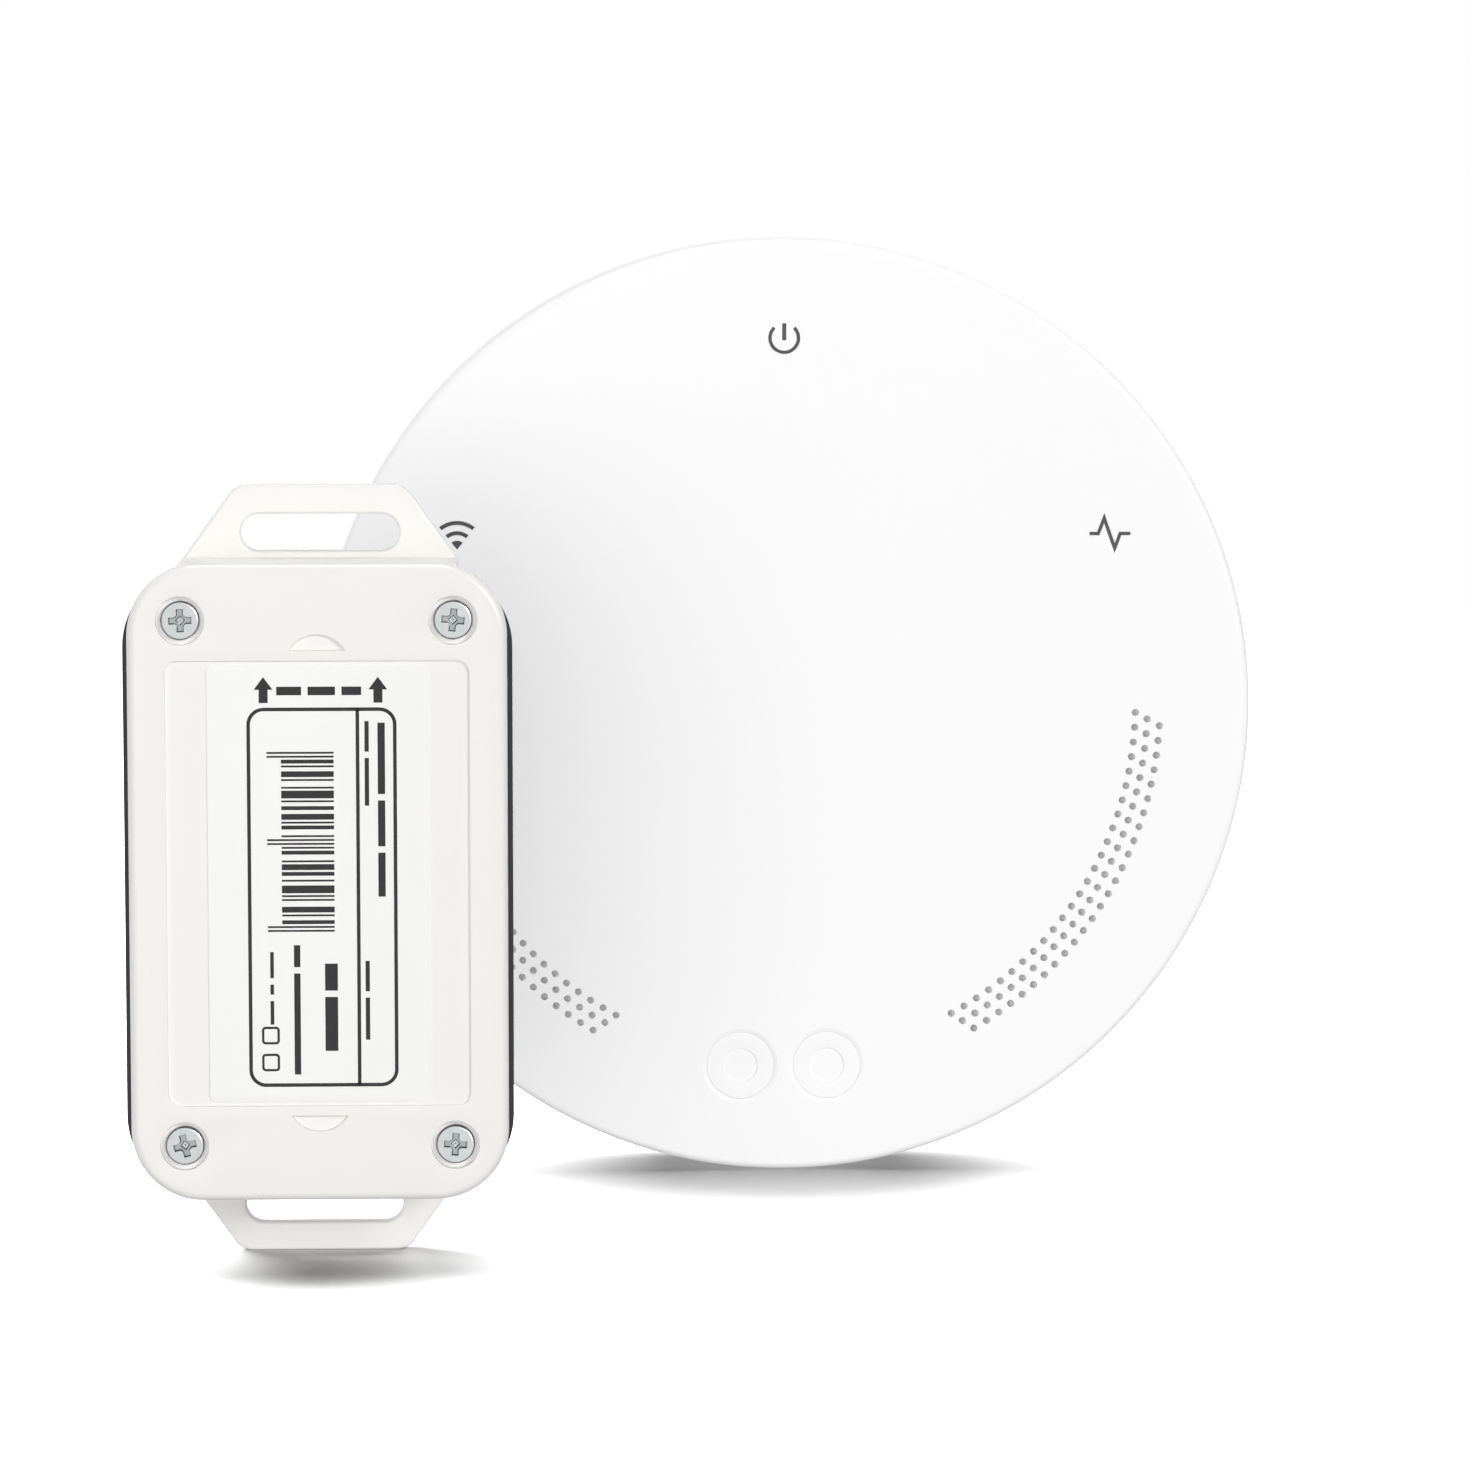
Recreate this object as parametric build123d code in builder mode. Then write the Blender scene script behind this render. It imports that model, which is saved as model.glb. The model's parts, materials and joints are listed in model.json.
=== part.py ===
from build123d import *
import os
from math import atan, cos, degrees, radians, sin

# Garage door controller: a round wall hub and the wireless tilt sensor that goes with it.
# Millimetres. The origin is the centre of the hub's wall face, +Z is up, and the front faces -Y.
# A depth is a distance in front of the wall for the hub, and in front of the ears for the sensor.

os.makedirs("parts", exist_ok=True)

# Hub casing
hub_d = 120.0
hub_depth = 28.0
skirt_len = 14.0
back_inset = 10.0
face_t = 2.2
skirt_t = 2.2
front_edge_r = 1.0
base_t = 2.4
back_edge_r = 1.0
lap_h = 2.5
lap_t = 1.6
seam_gap = 0.15
cut_over = 1.0

# Bay for the connectors, open to the wall and downwards
bay_w = 56.0
bay_tall = 22.0
bay_wall = 1.8

# Main board and the screws that clamp it
board_room = 9.6
board_clear = 1.3
board_t = 1.6
board_inset = 9.0
screw_inset = 22.0
rear_boss_d = 8.4
front_boss_d = 6.4
screw_d = 2.5
screw_head_d = 5.5
screw_head_h = 1.8
screw_sunk = 6.0
screw_bite = 6.0
screw_play = 0.1
board_hole_d = 3.2
head_play = 0.25
drive_w = 0.7
drive_span = 3.2
drive_deep = 1.0

# Keyholes that hang the hub on two wall screws
key_inset = 28.0
key_rise = 6.0
key_entry_d = 8.4
key_slot_w = 4.2
key_slot_len = 7.0

# Air slots and the bare recess on the back
vent_count = 5
vent_len = 22.0
vent_w = 1.6
vent_pitch = 3.4
vent_inset = 17.0
plate_w = 34.0
plate_h = 16.0
plate_deep = 0.3
plate_drop = 14.0

# Sound holes, three rows on each side of the face
hole_d = 0.9
hole_pitch = 1.91
hole_span_angle = 60.8
hole_row_insets = (14.74, 13.20, 11.59)
hole_mid_angle = -31.2
hole_wall_t = 1.0
cloth_t = 0.3
cloth_margin = 1.1
cloth_play = 0.2

# Symbols on the face and the light guides behind them
icon_inset = 12.6
icon_angles = {"power": 90.0, "activity": 28.1, "wireless": 151.9}
icon_gap = 0.04
power_ring_d = 3.64
power_stroke = 0.36
power_gap_half_angle = 45.0
power_bar_w = 0.45
power_bar_len = 2.1
power_bar_rise = 0.8
wave_drop = 1.85
wave_outer_r = 3.4
wave_inner_r = 2.09
wave_dot_r = 1.1
wave_stroke = 0.44
wave_half_angle = 38.0
pulse_stroke = 0.38
pulse_half_w = 2.63
pulse_up = 1.97
pulse_down = 1.87
pulse_x_shares = (-1.0, -0.57, -0.285, 0.236, 0.5, 1.0)
guide_flange_d = 7.6
guide_flange_t = 0.9
guide_stem_d = 3.4
guide_lamp_gap = 0.3
status_lamp_w = 2.8
status_lamp_l = 3.5
status_lamp_h = 0.8

# Push buttons
button_pitch = 11.16
button_inset = 13.6
button_d = 8.5
button_side_gap = 0.1
button_lip_w = 0.5
button_lip_deep = 0.12
button_sunk = 0.15
button_edge_r = 0.25
button_flange_d = 10.7
button_flange_t = 0.8
button_flange_gap = 0.1
button_travel = 0.5
button_stem_d = 4.4
dimple_d = 4.5
dimple_deep = 0.15
stem_gap = 0.3
keeper_t = 1.2
keeper_w = 31.0
keeper_h = 9.0
keeper_corner_r = 2.0
post_pitch = 27.2
post_d = 3.6
keeper_screw_d = 1.6
keeper_head_d = 3.2
keeper_head_h = 1.0
keeper_bite = 0.6
keeper_clear = 2.0
switch_w = 6.0
switch_bore_d = 3.5
switch_bore_deep = 1.5
plunger_d = 3.0
plunger_out = 1.2
plunger_in = 0.7

# Pieces on the main board
radio_link_w = 18.0
radio_link_l = 25.5
radio_link_t = 0.8
radio_link_gap = 10.65
shield_w = 16.0
shield_l = 17.6
shield_h = 2.4
siren_d = 22.0
siren_drop = 14.0
siren_clear = 1.2
siren_hole_d = 3.0
siren_hole_deep = 2.0
receiver_w = 22.0
receiver_l = 12.0
receiver_h = 2.6
receiver_inset = 20.0
receiver_rise = 2.0
aerial_inset = 8.0
aerial_d = 1.0
aerial_start_angle = 42.0
aerial_sweep_angle = 40.0
can_d = 6.3
can_clear = 2.4
can_insets = (20.0, 12.5, 20.0)
can_rises = (8.0, 4.0, -5.0)
chip_w = 7.0
chip_h = 1.0
chip_drop = 8.0
relay_w = 19.0
relay_l = 15.5
relay_floor_gap = 1.2
relay_rise = 12.0
terminal_x = 8.0
terminal_pitch = 5.08
terminal_w = 10.4
terminal_l = 9.0
terminal_floor_gap = 1.0
wire_hole_d = 2.6
wire_hole_deep = 6.0
well_d = 3.8
clamp_screw_d = 3.4
clamp_screw_share = 0.62
clamp_slot_w = 0.6
clamp_slot_share = 0.3
access_d = 4.6
jack_x = -8.0
jack_w = 9.0
jack_l = 12.0
jack_floor_gap = 1.2
jack_nose_margin = 0.65
jack_nose_gap = 0.15
jack_nose_wall = 0.8
jack_bore_deep = 9.0
jack_pin_d = 2.1
jack_pin_len = 8.2
port_set_back = 0.2

# Sensor casing
sensor_w = 44.4
sensor_h = 75.2
sensor_corner_r = 8.5
sensor_x = -57.4
sensor_gap = 52.2
lid_t = 2.4
lid_edge_r = 1.1
lid_front = 13.3
shell_proud = 0.6
shell_short = 0.4
shell_corner_r = 9.5
shell_back = 9.2
shell_taper = 3.0
shell_edge_r = 3.0
shell_wall = 1.8
shell_front_t = 2.0
pocket_end = 4.2
pocket_corner_r = 7.0
gasket_w = 0.8
gasket_inset = 0.4
gasket_sunk = 0.6
gasket_proud = 0.3
ear_reach = 8.4
ear_t = 2.2
ear_root_inset = 5.8
ear_root_drop = 0.5
ear_slant = 6.4
ear_corner_r = 2.6
slot_side = 0.6
slot_h = 4.4
slot_reach = 2.8
end_block_inset = 0.2
end_block_t = 2.4
shell_play = 0.15
panel_side = 4.45
panel_end = 11.35
panel_corner_r = 1.6
panel_deep = 0.35
label_side = 4.85
label_end = 0.45
label_t = 0.15
label_corner_r = 0.8
notch_w = 6.8
notch_gap = 1.15
notch_h = 2.0
notch_deep = 0.5
lid_screw_side = 6.3
lid_screw_end = 6.6
lid_screw_d = 2.2
lid_head_d = 4.5
lid_head_h = 1.0
lid_drive_span = 2.6
lid_bore_d = 5.7
lid_bore_deep = 1.3
lid_bite = 8.0
shell_post_d = 6.4

# Inside the sensor
card_side_gap = 1.5
card_end_gap = 3.0
card_t = 1.2
card_corner_r = 1.0
card_stand = 1.5
card_post_d = 4.0
card_post_side = 3.3
card_post_end = 3.4
card_screw_d = 1.6
card_head_d = 3.4
card_head_h = 1.0
card_bite = 1.2
cell_len = 24.4
cell_play = 0.15
cell_nub_d = 5.0
cell_nub_h = 0.8
tray_margin = 1.5
tray_floor_t = 0.6
tray_wall = 1.0
tray_depth = 8.0
contact_w = 7.0
contact_t = 0.4
contact_gap = 0.3
ball_tube_d = 4.8
ball_tube_len = 7.6
ball_bore_d = 4.0
ball_bore_len = 6.0
ball_d = 3.3
ball_end_gap = 0.15
ball_lean_angle = 45.0
cradle_w = 6.0
cradle_l = 8.6
cradle_h = 3.4
cradle_x = 8.0
cradle_play = 0.05
radio_chip_w = 6.0
radio_chip_h = 1.0
radio_chip_x = -8.0
chip_aerial_w = 7.0
chip_aerial_l = 2.2
chip_aerial_h = 1.2
lamp_w = 2.0
lamp_l = 1.3
lamp_h = 0.8
lamp_end = 3.0
pipe_d = 2.6
pipe_play = 0.05
pipe_gap = 0.3

# Hub depths, radii and heights that follow from the sizes above
hub_r = hub_d / 2
hub_back_r = hub_r - back_inset
seam_depth = hub_depth - skirt_len
face_inner = hub_depth - face_t
board_front = face_inner - board_room
board_back = board_front - board_t
board_r = hub_r - board_inset
bay_depth = board_back - board_clear - bay_wall
bay_drop = hub_r - bay_tall
bay_inner = bay_drop - bay_wall
lap_r = hub_r - skirt_t - seam_gap
screw_circle_r = hub_r - screw_inset
icon_circle_r = hub_r - icon_inset
hole_rows = [hub_r - inset for inset in hole_row_insets]
hole_columns = round(radians(hole_span_angle) * hole_rows[1] / hole_pitch)
cloth_half_angle = degrees(hole_pitch / hole_rows[0]) * (hole_columns + 1) / 2
cloth_middle_angles = {"right": hole_mid_angle, "left": 180 - hole_mid_angle}
button_drop = hub_r - button_inset
button_lip_taper = degrees(atan(button_lip_w / button_lip_deep))
jack_depth = (base_t + bay_depth) / 2
jack_nose_d = bay_depth - base_t - 2 * jack_nose_margin
jack_bore_d = jack_nose_d - 2 * jack_nose_wall
radio_link_rise = icon_circle_r - radio_link_gap - radio_link_l / 2
can_places = [(inset - board_r, rise) for inset, rise in zip(can_insets, can_rises)]

# Sensor outlines and depths that follow from the sizes above
ear_span = sensor_h + 2 * ear_reach
ear_root_w = sensor_w - 2 * ear_root_inset
ear_top_w = ear_root_w - 2 * ear_slant
ear_root_rise = sensor_h / 2 - ear_root_drop
slot_w = ear_top_w - 2 * slot_side
slot_rise = sensor_h / 2 + slot_reach
sensor_z = ear_span / 2 - hub_r
ear_depth = hub_depth + sensor_gap
lid_inner = lid_front - lid_t
shell_w = sensor_w + 2 * shell_proud
shell_h = sensor_h - 2 * shell_short
shell_front_w = shell_w - 2 * shell_taper
shell_front_h = shell_h - 2 * shell_taper
shell_rim = lid_inner - gasket_proud
shell_floor = shell_front_t - shell_back
pocket_w = shell_w - 2 * shell_wall
pocket_h = shell_h - 2 * pocket_end
pocket_floor_w = pocket_w - 2 * shell_taper
pocket_floor_h = pocket_h - 2 * shell_taper
block_top = sensor_h / 2 - end_block_inset
block_bottom = block_top - end_block_t
panel_w = sensor_w - 2 * panel_side
panel_h = sensor_h - 2 * panel_end
label_w = panel_w - 2 * label_side
label_h = panel_h - 2 * label_end
notch_rise = panel_h / 2 + notch_gap
lid_screw_x = sensor_w / 2 - lid_screw_side
lid_screw_z = sensor_h / 2 - lid_screw_end
card_w = pocket_floor_w - 2 * card_side_gap
card_h = pocket_floor_h - 2 * card_end_gap
card_back = shell_floor + card_stand
card_front = card_back + card_t
card_post_x = card_w / 2 - card_post_side
card_post_z = card_h / 2 - card_post_end
cell_d = lid_inner - card_front - tray_floor_t - 2 * cell_play
tray_out_w = cell_d + 2 * cell_play + 2 * tray_wall
tray_in_h = cell_len + cell_nub_h + 2 * contact_t + 2 * contact_gap
tray_out_h = tray_in_h + 2 * tray_wall
tray_z = tray_margin + (tray_out_h - card_h) / 2
row_z = (tray_z + tray_out_h / 2 + card_h / 2) / 2
lamp_rise = card_h / 2 - lamp_end


def at_depth(depth):
    """The plane that faces the viewer, depth in front of the wall."""
    return Plane.XZ.offset(depth)


def at_sensor(depth):
    """The plane that faces the viewer, depth in front of the sensor's ears."""
    return Plane(origin=(sensor_x, -ear_depth - depth, sensor_z), x_dir=(1, 0, 0), z_dir=(0, -1, 0))


def ring_points(radius, count, step, middle):
    """Points on a circle, step degrees apart, evenly about the middle angle."""
    angles = [middle + (index - (count - 1) / 2) * step for index in range(count)]
    return [(radius * cos(radians(angle)), radius * sin(radians(angle))) for angle in angles]


def wedge(reach, middle, half_angle, mode):
    """A triangle with its tip at the open location, as wide as the two angles, in the open sketch."""
    tip_angles = [radians(middle - half_angle), radians(middle + half_angle)]
    corners = [(reach * cos(angle), reach * sin(angle)) for angle in tip_angles]
    Polygon((0, 0), *corners, align=None, mode=mode)


def power_symbol(grow):
    """An open ring with a bar in its gap, every stroke wider by grow on each side."""
    ring_r = power_ring_d / 2
    half_stroke = power_stroke / 2 + grow
    with BuildSketch() as power:
        Circle(ring_r + half_stroke)
        Circle(ring_r - half_stroke, mode=Mode.SUBTRACT)
        wedge(power_ring_d, 90, power_gap_half_angle, Mode.SUBTRACT)
        with Locations((0, power_bar_rise)):
            Rectangle(power_bar_w + 2 * grow, power_bar_len + 2 * grow)
    return power.sketch


def wireless_symbol(grow):
    """Two arcs and a fan above one point, every stroke wider by grow on each side."""
    half_stroke = wave_stroke / 2 + grow
    with BuildSketch() as waves:
        with Locations((0, -wave_drop)):
            Circle(wave_outer_r + half_stroke)
            Circle(wave_outer_r - half_stroke, mode=Mode.SUBTRACT)
            Circle(wave_inner_r + half_stroke)
            Circle(wave_inner_r - half_stroke, mode=Mode.SUBTRACT)
            Circle(wave_dot_r + grow)
            wedge(2 * wave_outer_r, 90, wave_half_angle, Mode.INTERSECT)
    return waves.sketch


def activity_symbol(grow):
    """A line with one peak and one dip, its stroke wider by grow on each side."""
    heights = (0, 0, pulse_up, -pulse_down, 0, 0)
    points = [(share * pulse_half_w, height) for share, height in zip(pulse_x_shares, heights)]
    with BuildSketch() as pulse:
        with BuildLine():
            Polyline(*points)
        trace(line_width=pulse_stroke + 2 * grow)
    return pulse.sketch


def cloth_band(middle_angle, grow):
    """The band behind the sound holes of one side, wider by grow all round."""
    half_angle = cloth_half_angle + degrees(grow / hole_rows[0])
    with BuildSketch() as band:
        Circle(hole_rows[-1] + cloth_margin + grow)
        Circle(hole_rows[0] - cloth_margin - grow, mode=Mode.SUBTRACT)
        wedge(2 * hub_r, middle_angle, half_angle, Mode.INTERSECT)
    return band.sketch


symbols = {"power": power_symbol, "activity": activity_symbol, "wireless": wireless_symbol}
icon_points = {name: ring_points(icon_circle_r, 1, 0, angle)[0] for name, angle in icon_angles.items()}

hole_points = []
for row_r in hole_rows:
    column_step = degrees(hole_pitch / row_r)
    hole_points += ring_points(row_r, hole_columns, column_step, hole_mid_angle)
    hole_points += ring_points(row_r, hole_columns, column_step, 180 - hole_mid_angle)

button_points = {"left": (-button_pitch / 2, -button_drop), "right": (button_pitch / 2, -button_drop)}
post_points = [(-post_pitch / 2, -button_drop), (post_pitch / 2, -button_drop)]
flange_front = face_inner - button_flange_gap
flange_back = flange_front - button_flange_t
keeper_front = flange_back - button_travel - stem_gap
plunger_top = keeper_front - keeper_t - keeper_clear
switch_h = plunger_top - plunger_out - board_front
clamp_points = [(terminal_x - terminal_pitch / 2, 0), (terminal_x + terminal_pitch / 2, 0)]
terminal_mid_z = -bay_inner + terminal_l / 2
well_deep = jack_depth - base_t - terminal_floor_gap
clamp_screw_h = well_deep * clamp_screw_share

# Front cover: the flat face and its skirt, with the bosses that the case screws bite into
with BuildPart() as front_cover:
    with BuildSketch(at_depth(seam_depth)):
        Circle(hub_r)
    extrude(amount=hub_depth - seam_depth)
    fillet(front_cover.edges().sort_by(Axis.Y)[0], front_edge_r)
    with BuildSketch(at_depth(seam_depth)):
        Circle(hub_r - skirt_t)
    extrude(amount=face_inner - seam_depth, mode=Mode.SUBTRACT)
    with BuildSketch(at_depth(board_front)):
        with PolarLocations(screw_circle_r, 4, start_angle=45):
            Circle(front_boss_d / 2)
    extrude(amount=face_inner - board_front)
    with BuildSketch(at_depth(keeper_front)):
        with Locations(*post_points):
            Circle(post_d / 2)
    extrude(amount=face_inner - keeper_front)
    with BuildSketch(at_depth(board_front)):
        with PolarLocations(screw_circle_r, 4, start_angle=45):
            Circle((screw_d + screw_play) / 2)
    extrude(amount=screw_bite + cut_over, mode=Mode.SUBTRACT)
    with BuildSketch(at_depth(keeper_front)):
        with Locations(*post_points):
            Circle((keeper_screw_d + screw_play) / 2)
    extrude(amount=keeper_bite + screw_play, mode=Mode.SUBTRACT)
    with BuildSketch(at_depth(face_inner)):
        with Locations(*button_points.values()):
            Circle(button_d / 2 + button_side_gap)
    extrude(amount=face_t, mode=Mode.SUBTRACT)
    with BuildSketch(at_depth(hub_depth)):
        with Locations(*button_points.values()):
            Circle(button_d / 2 + button_side_gap + button_lip_w)
    extrude(amount=-button_lip_deep, taper=button_lip_taper, mode=Mode.SUBTRACT)
    with BuildSketch(at_depth(face_inner)):
        with Locations(*hole_points):
            Circle(hole_d / 2)
    extrude(amount=face_t, mode=Mode.SUBTRACT)
    for middle_angle in cloth_middle_angles.values():
        seat = cloth_band(middle_angle, cloth_play)
        with BuildSketch(at_depth(face_inner)):
            add(seat)
        extrude(amount=face_t - hole_wall_t, mode=Mode.SUBTRACT)
    for name, symbol in symbols.items():
        window = symbol(icon_gap)
        with BuildSketch(at_depth(face_inner)):
            with Locations(icon_points[name]):
                add(window)
        extrude(amount=face_t, mode=Mode.SUBTRACT)
front_cover.part.label = "front_cover"
export_step(front_cover.part, "parts/front_cover.step")

# The hollow of the rear shell, less the walls of the connector bay
with BuildPart() as rear_hollow:
    with BuildSketch(Plane.XY):
        with BuildLine():
            Polyline(
                (0, -base_t),
                (hub_back_r - skirt_t, -base_t),
                (lap_r - lap_t, -seam_depth + lap_t),
                (lap_r - lap_t, -seam_depth - lap_h - cut_over),
                (0, -seam_depth - lap_h - cut_over),
                close=True,
            )
        make_face()
    revolve(axis=Axis.Y)
    with BuildSketch(at_depth(0)):
        with Locations((0, -bay_inner)):
            Rectangle(bay_w + 2 * bay_wall, hub_r, align=(Align.CENTER, Align.MAX))
    extrude(amount=bay_depth + bay_wall, mode=Mode.SUBTRACT)

# Rear shell: the wall face, its bosses, keyholes and air slots, and the connector bay
with BuildPart() as rear_shell:
    with BuildSketch(Plane.XY):
        with BuildLine():
            Polyline(
                (0, 0),
                (hub_back_r, 0),
                (hub_r, -seam_depth),
                (lap_r, -seam_depth),
                (lap_r, -seam_depth - lap_h),
                (0, -seam_depth - lap_h),
                close=True,
            )
        make_face()
    revolve(axis=Axis.Y)
    fillet(rear_shell.edges().sort_by(Axis.Y)[-1], back_edge_r)
    add(rear_hollow.part, mode=Mode.SUBTRACT)
    with BuildSketch(at_depth(0)):
        with Locations((0, -bay_drop)):
            Rectangle(bay_w, hub_r, align=(Align.CENTER, Align.MAX))
    extrude(amount=bay_depth, mode=Mode.SUBTRACT)
    with BuildSketch(at_depth(base_t / 2)):
        with PolarLocations(screw_circle_r, 4, start_angle=45):
            Circle(rear_boss_d / 2)
    extrude(amount=board_back - base_t / 2)
    with BuildSketch(at_depth(0)):
        with PolarLocations(screw_circle_r, 4, start_angle=45):
            Circle(screw_head_d / 2 + head_play)
    extrude(amount=screw_sunk, mode=Mode.SUBTRACT)
    with BuildSketch(at_depth(screw_sunk)):
        with PolarLocations(screw_circle_r, 4, start_angle=45):
            Circle(screw_d / 2 + screw_play)
    extrude(amount=board_back - screw_sunk, mode=Mode.SUBTRACT)
    with BuildSketch(at_depth(0)):
        with GridLocations(2 * (hub_r - key_inset), 0, 2, 1):
            with Locations((0, key_rise)):
                Circle(key_entry_d / 2)
            with Locations((0, key_rise + key_slot_len / 2)):
                Rectangle(key_slot_w, key_slot_len)
            with Locations((0, key_rise + key_slot_len)):
                Circle(key_slot_w / 2)
        with Locations((0, hub_back_r - vent_inset)):
            with GridLocations(0, vent_pitch, 1, vent_count):
                SlotOverall(vent_len, vent_w)
        with Locations((0, terminal_mid_z)):
            with Locations(*clamp_points):
                Circle(access_d / 2)
    extrude(amount=base_t, mode=Mode.SUBTRACT)
    with BuildSketch(at_depth(0)):
        with Locations((0, -plate_drop)):
            Rectangle(plate_w, plate_h)
    extrude(amount=plate_deep, mode=Mode.SUBTRACT)
    with BuildSketch(Plane.XY.offset(-bay_drop)):
        with Locations((jack_x, -jack_depth)):
            Circle(jack_nose_d / 2 + jack_nose_gap)
        with Locations((0, -jack_depth)):
            with Locations(*clamp_points):
                Circle(wire_hole_d / 2 + jack_nose_gap)
    extrude(amount=bay_wall, mode=Mode.SUBTRACT)
rear_shell.part.label = "rear_shell"
export_step(rear_shell.part, "parts/rear_shell.step")

# Main board, clamped between the bosses of the two casings
with BuildPart() as main_board:
    with BuildSketch(at_depth(board_back)):
        Circle(board_r)
        with PolarLocations(screw_circle_r, 4, start_angle=45):
            Circle(board_hole_d / 2, mode=Mode.SUBTRACT)
    extrude(amount=board_t)
main_board.part.label = "main_board"
export_step(main_board.part, "parts/main_board.step")

# Case screws: sunk pan heads with a cross drive
with BuildPart() as case_screws:
    with BuildSketch(at_depth(screw_sunk - screw_head_h)):
        with PolarLocations(screw_circle_r, 4, start_angle=45):
            Circle(screw_head_d / 2)
    extrude(amount=screw_head_h)
    with BuildSketch(at_depth(screw_sunk)):
        with PolarLocations(screw_circle_r, 4, start_angle=45):
            Circle(screw_d / 2)
    extrude(amount=board_front + screw_bite - screw_sunk)
    with BuildSketch(at_depth(screw_sunk - screw_head_h)):
        with PolarLocations(screw_circle_r, 4, start_angle=45):
            Rectangle(drive_span, drive_w)
            Rectangle(drive_w, drive_span)
    extrude(amount=drive_deep, mode=Mode.SUBTRACT)
case_screws.part.label = "case_screws"
export_step(case_screws.part, "parts/case_screws.step")

# Light guides: each fills its symbol in the face and reaches back to its lamp
for name, symbol in symbols.items():
    shape = symbol(0)
    with BuildPart() as light_guide:
        with BuildSketch(at_depth(face_inner)):
            with Locations(icon_points[name]):
                add(shape)
        extrude(amount=face_t)
        with BuildSketch(at_depth(face_inner)):
            with Locations(icon_points[name]):
                Circle(guide_flange_d / 2)
        extrude(amount=-guide_flange_t)
        with BuildSketch(at_depth(board_front + status_lamp_h + guide_lamp_gap)):
            with Locations(icon_points[name]):
                Circle(guide_stem_d / 2)
        extrude(amount=board_room - guide_flange_t - status_lamp_h - guide_lamp_gap)
    light_guide.part.label = f"{name}_light_guide"
    export_step(light_guide.part, f"parts/{name}_light_guide.step")

# Status lamps under the light guides
with BuildPart() as status_leds:
    with BuildSketch(at_depth(board_front)):
        with Locations(*icon_points.values()):
            Rectangle(status_lamp_w, status_lamp_l)
    extrude(amount=status_lamp_h)
status_leds.part.label = "status_leds"
export_step(status_leds.part, "parts/status_leds.step")

# Cloth strips in their seats behind the sound holes, one for each side
for side, middle_angle in cloth_middle_angles.items():
    strip = cloth_band(middle_angle, 0)
    with BuildPart() as grille_cloth:
        with BuildSketch(at_depth(hub_depth - hole_wall_t)):
            add(strip)
        extrude(amount=-cloth_t)
    grille_cloth.part.label = f"grille_cloth_{side}"
    export_step(grille_cloth.part, f"parts/grille_cloth_{side}.step")

# Push buttons and the switch plungers that they press
for side, point in button_points.items():
    with BuildPart() as button:
        with BuildSketch(at_depth(flange_back)):
            with Locations(point):
                Circle(button_flange_d / 2)
        extrude(amount=button_flange_t)
        with BuildSketch(at_depth(flange_front)):
            with Locations(point):
                Circle(button_d / 2)
        extrude(amount=hub_depth - button_sunk - flange_front)
        fillet(button.edges().sort_by(Axis.Y)[0], button_edge_r)
        with BuildSketch(at_depth(hub_depth - button_sunk)):
            with Locations(point):
                Circle(dimple_d / 2)
        extrude(amount=-dimple_deep, mode=Mode.SUBTRACT)
        with BuildSketch(at_depth(plunger_top)):
            with Locations(point):
                Circle(button_stem_d / 2)
        extrude(amount=flange_back - plunger_top)
    button.part.label = f"button_{side}"
    export_step(button.part, f"parts/button_{side}.step")

    with BuildPart() as switch_plunger:
        with BuildSketch(at_depth(plunger_top)):
            with Locations(point):
                Circle(plunger_d / 2)
        extrude(amount=-plunger_out - plunger_in)
    switch_plunger.part.label = f"switch_plunger_{side}"
    export_step(switch_plunger.part, f"parts/switch_plunger_{side}.step")

    with BuildPart() as switch_body:
        with BuildSketch(at_depth(board_front)):
            with Locations(point):
                Rectangle(switch_w, switch_w)
        extrude(amount=switch_h)
        with BuildSketch(at_depth(board_front + switch_h)):
            with Locations(point):
                Circle(switch_bore_d / 2)
        extrude(amount=-switch_bore_deep, mode=Mode.SUBTRACT)
    switch_body.part.label = f"switch_body_{side}"
    export_step(switch_body.part, f"parts/switch_body_{side}.step")

# Keeper plate that holds the two buttons in, and its screws
with BuildPart() as button_keeper:
    with BuildSketch(at_depth(keeper_front)):
        with Locations((0, -button_drop)):
            RectangleRounded(keeper_w, keeper_h, keeper_corner_r)
        with Locations(*button_points.values()):
            Circle(button_stem_d / 2 + stem_gap, mode=Mode.SUBTRACT)
        with Locations(*post_points):
            Circle(keeper_screw_d / 2 + screw_play, mode=Mode.SUBTRACT)
    extrude(amount=-keeper_t)
button_keeper.part.label = "button_keeper"
export_step(button_keeper.part, "parts/button_keeper.step")

with BuildPart() as keeper_screws:
    with BuildSketch(at_depth(keeper_front - keeper_t)):
        with Locations(*post_points):
            Circle(keeper_head_d / 2)
    extrude(amount=-keeper_head_h)
    with BuildSketch(at_depth(keeper_front - keeper_t)):
        with Locations(*post_points):
            Circle(keeper_screw_d / 2)
    extrude(amount=keeper_t + keeper_bite)
keeper_screws.part.label = "keeper_screws"
export_step(keeper_screws.part, "parts/keeper_screws.step")

# Wireless module and its shield
with BuildPart() as wifi_module:
    with BuildSketch(at_depth(board_front)):
        with Locations((0, radio_link_rise)):
            Rectangle(radio_link_w, radio_link_l)
    extrude(amount=radio_link_t)
wifi_module.part.label = "wifi_module"
export_step(wifi_module.part, "parts/wifi_module.step")

with BuildPart() as wifi_shield:
    with BuildSketch(at_depth(board_front + radio_link_t)):
        with Locations((0, radio_link_rise - (radio_link_l - radio_link_w) / 2)):
            Rectangle(shield_w, shield_l)
    extrude(amount=shield_h)
wifi_shield.part.label = "wifi_shield"
export_step(wifi_shield.part, "parts/wifi_shield.step")

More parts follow.
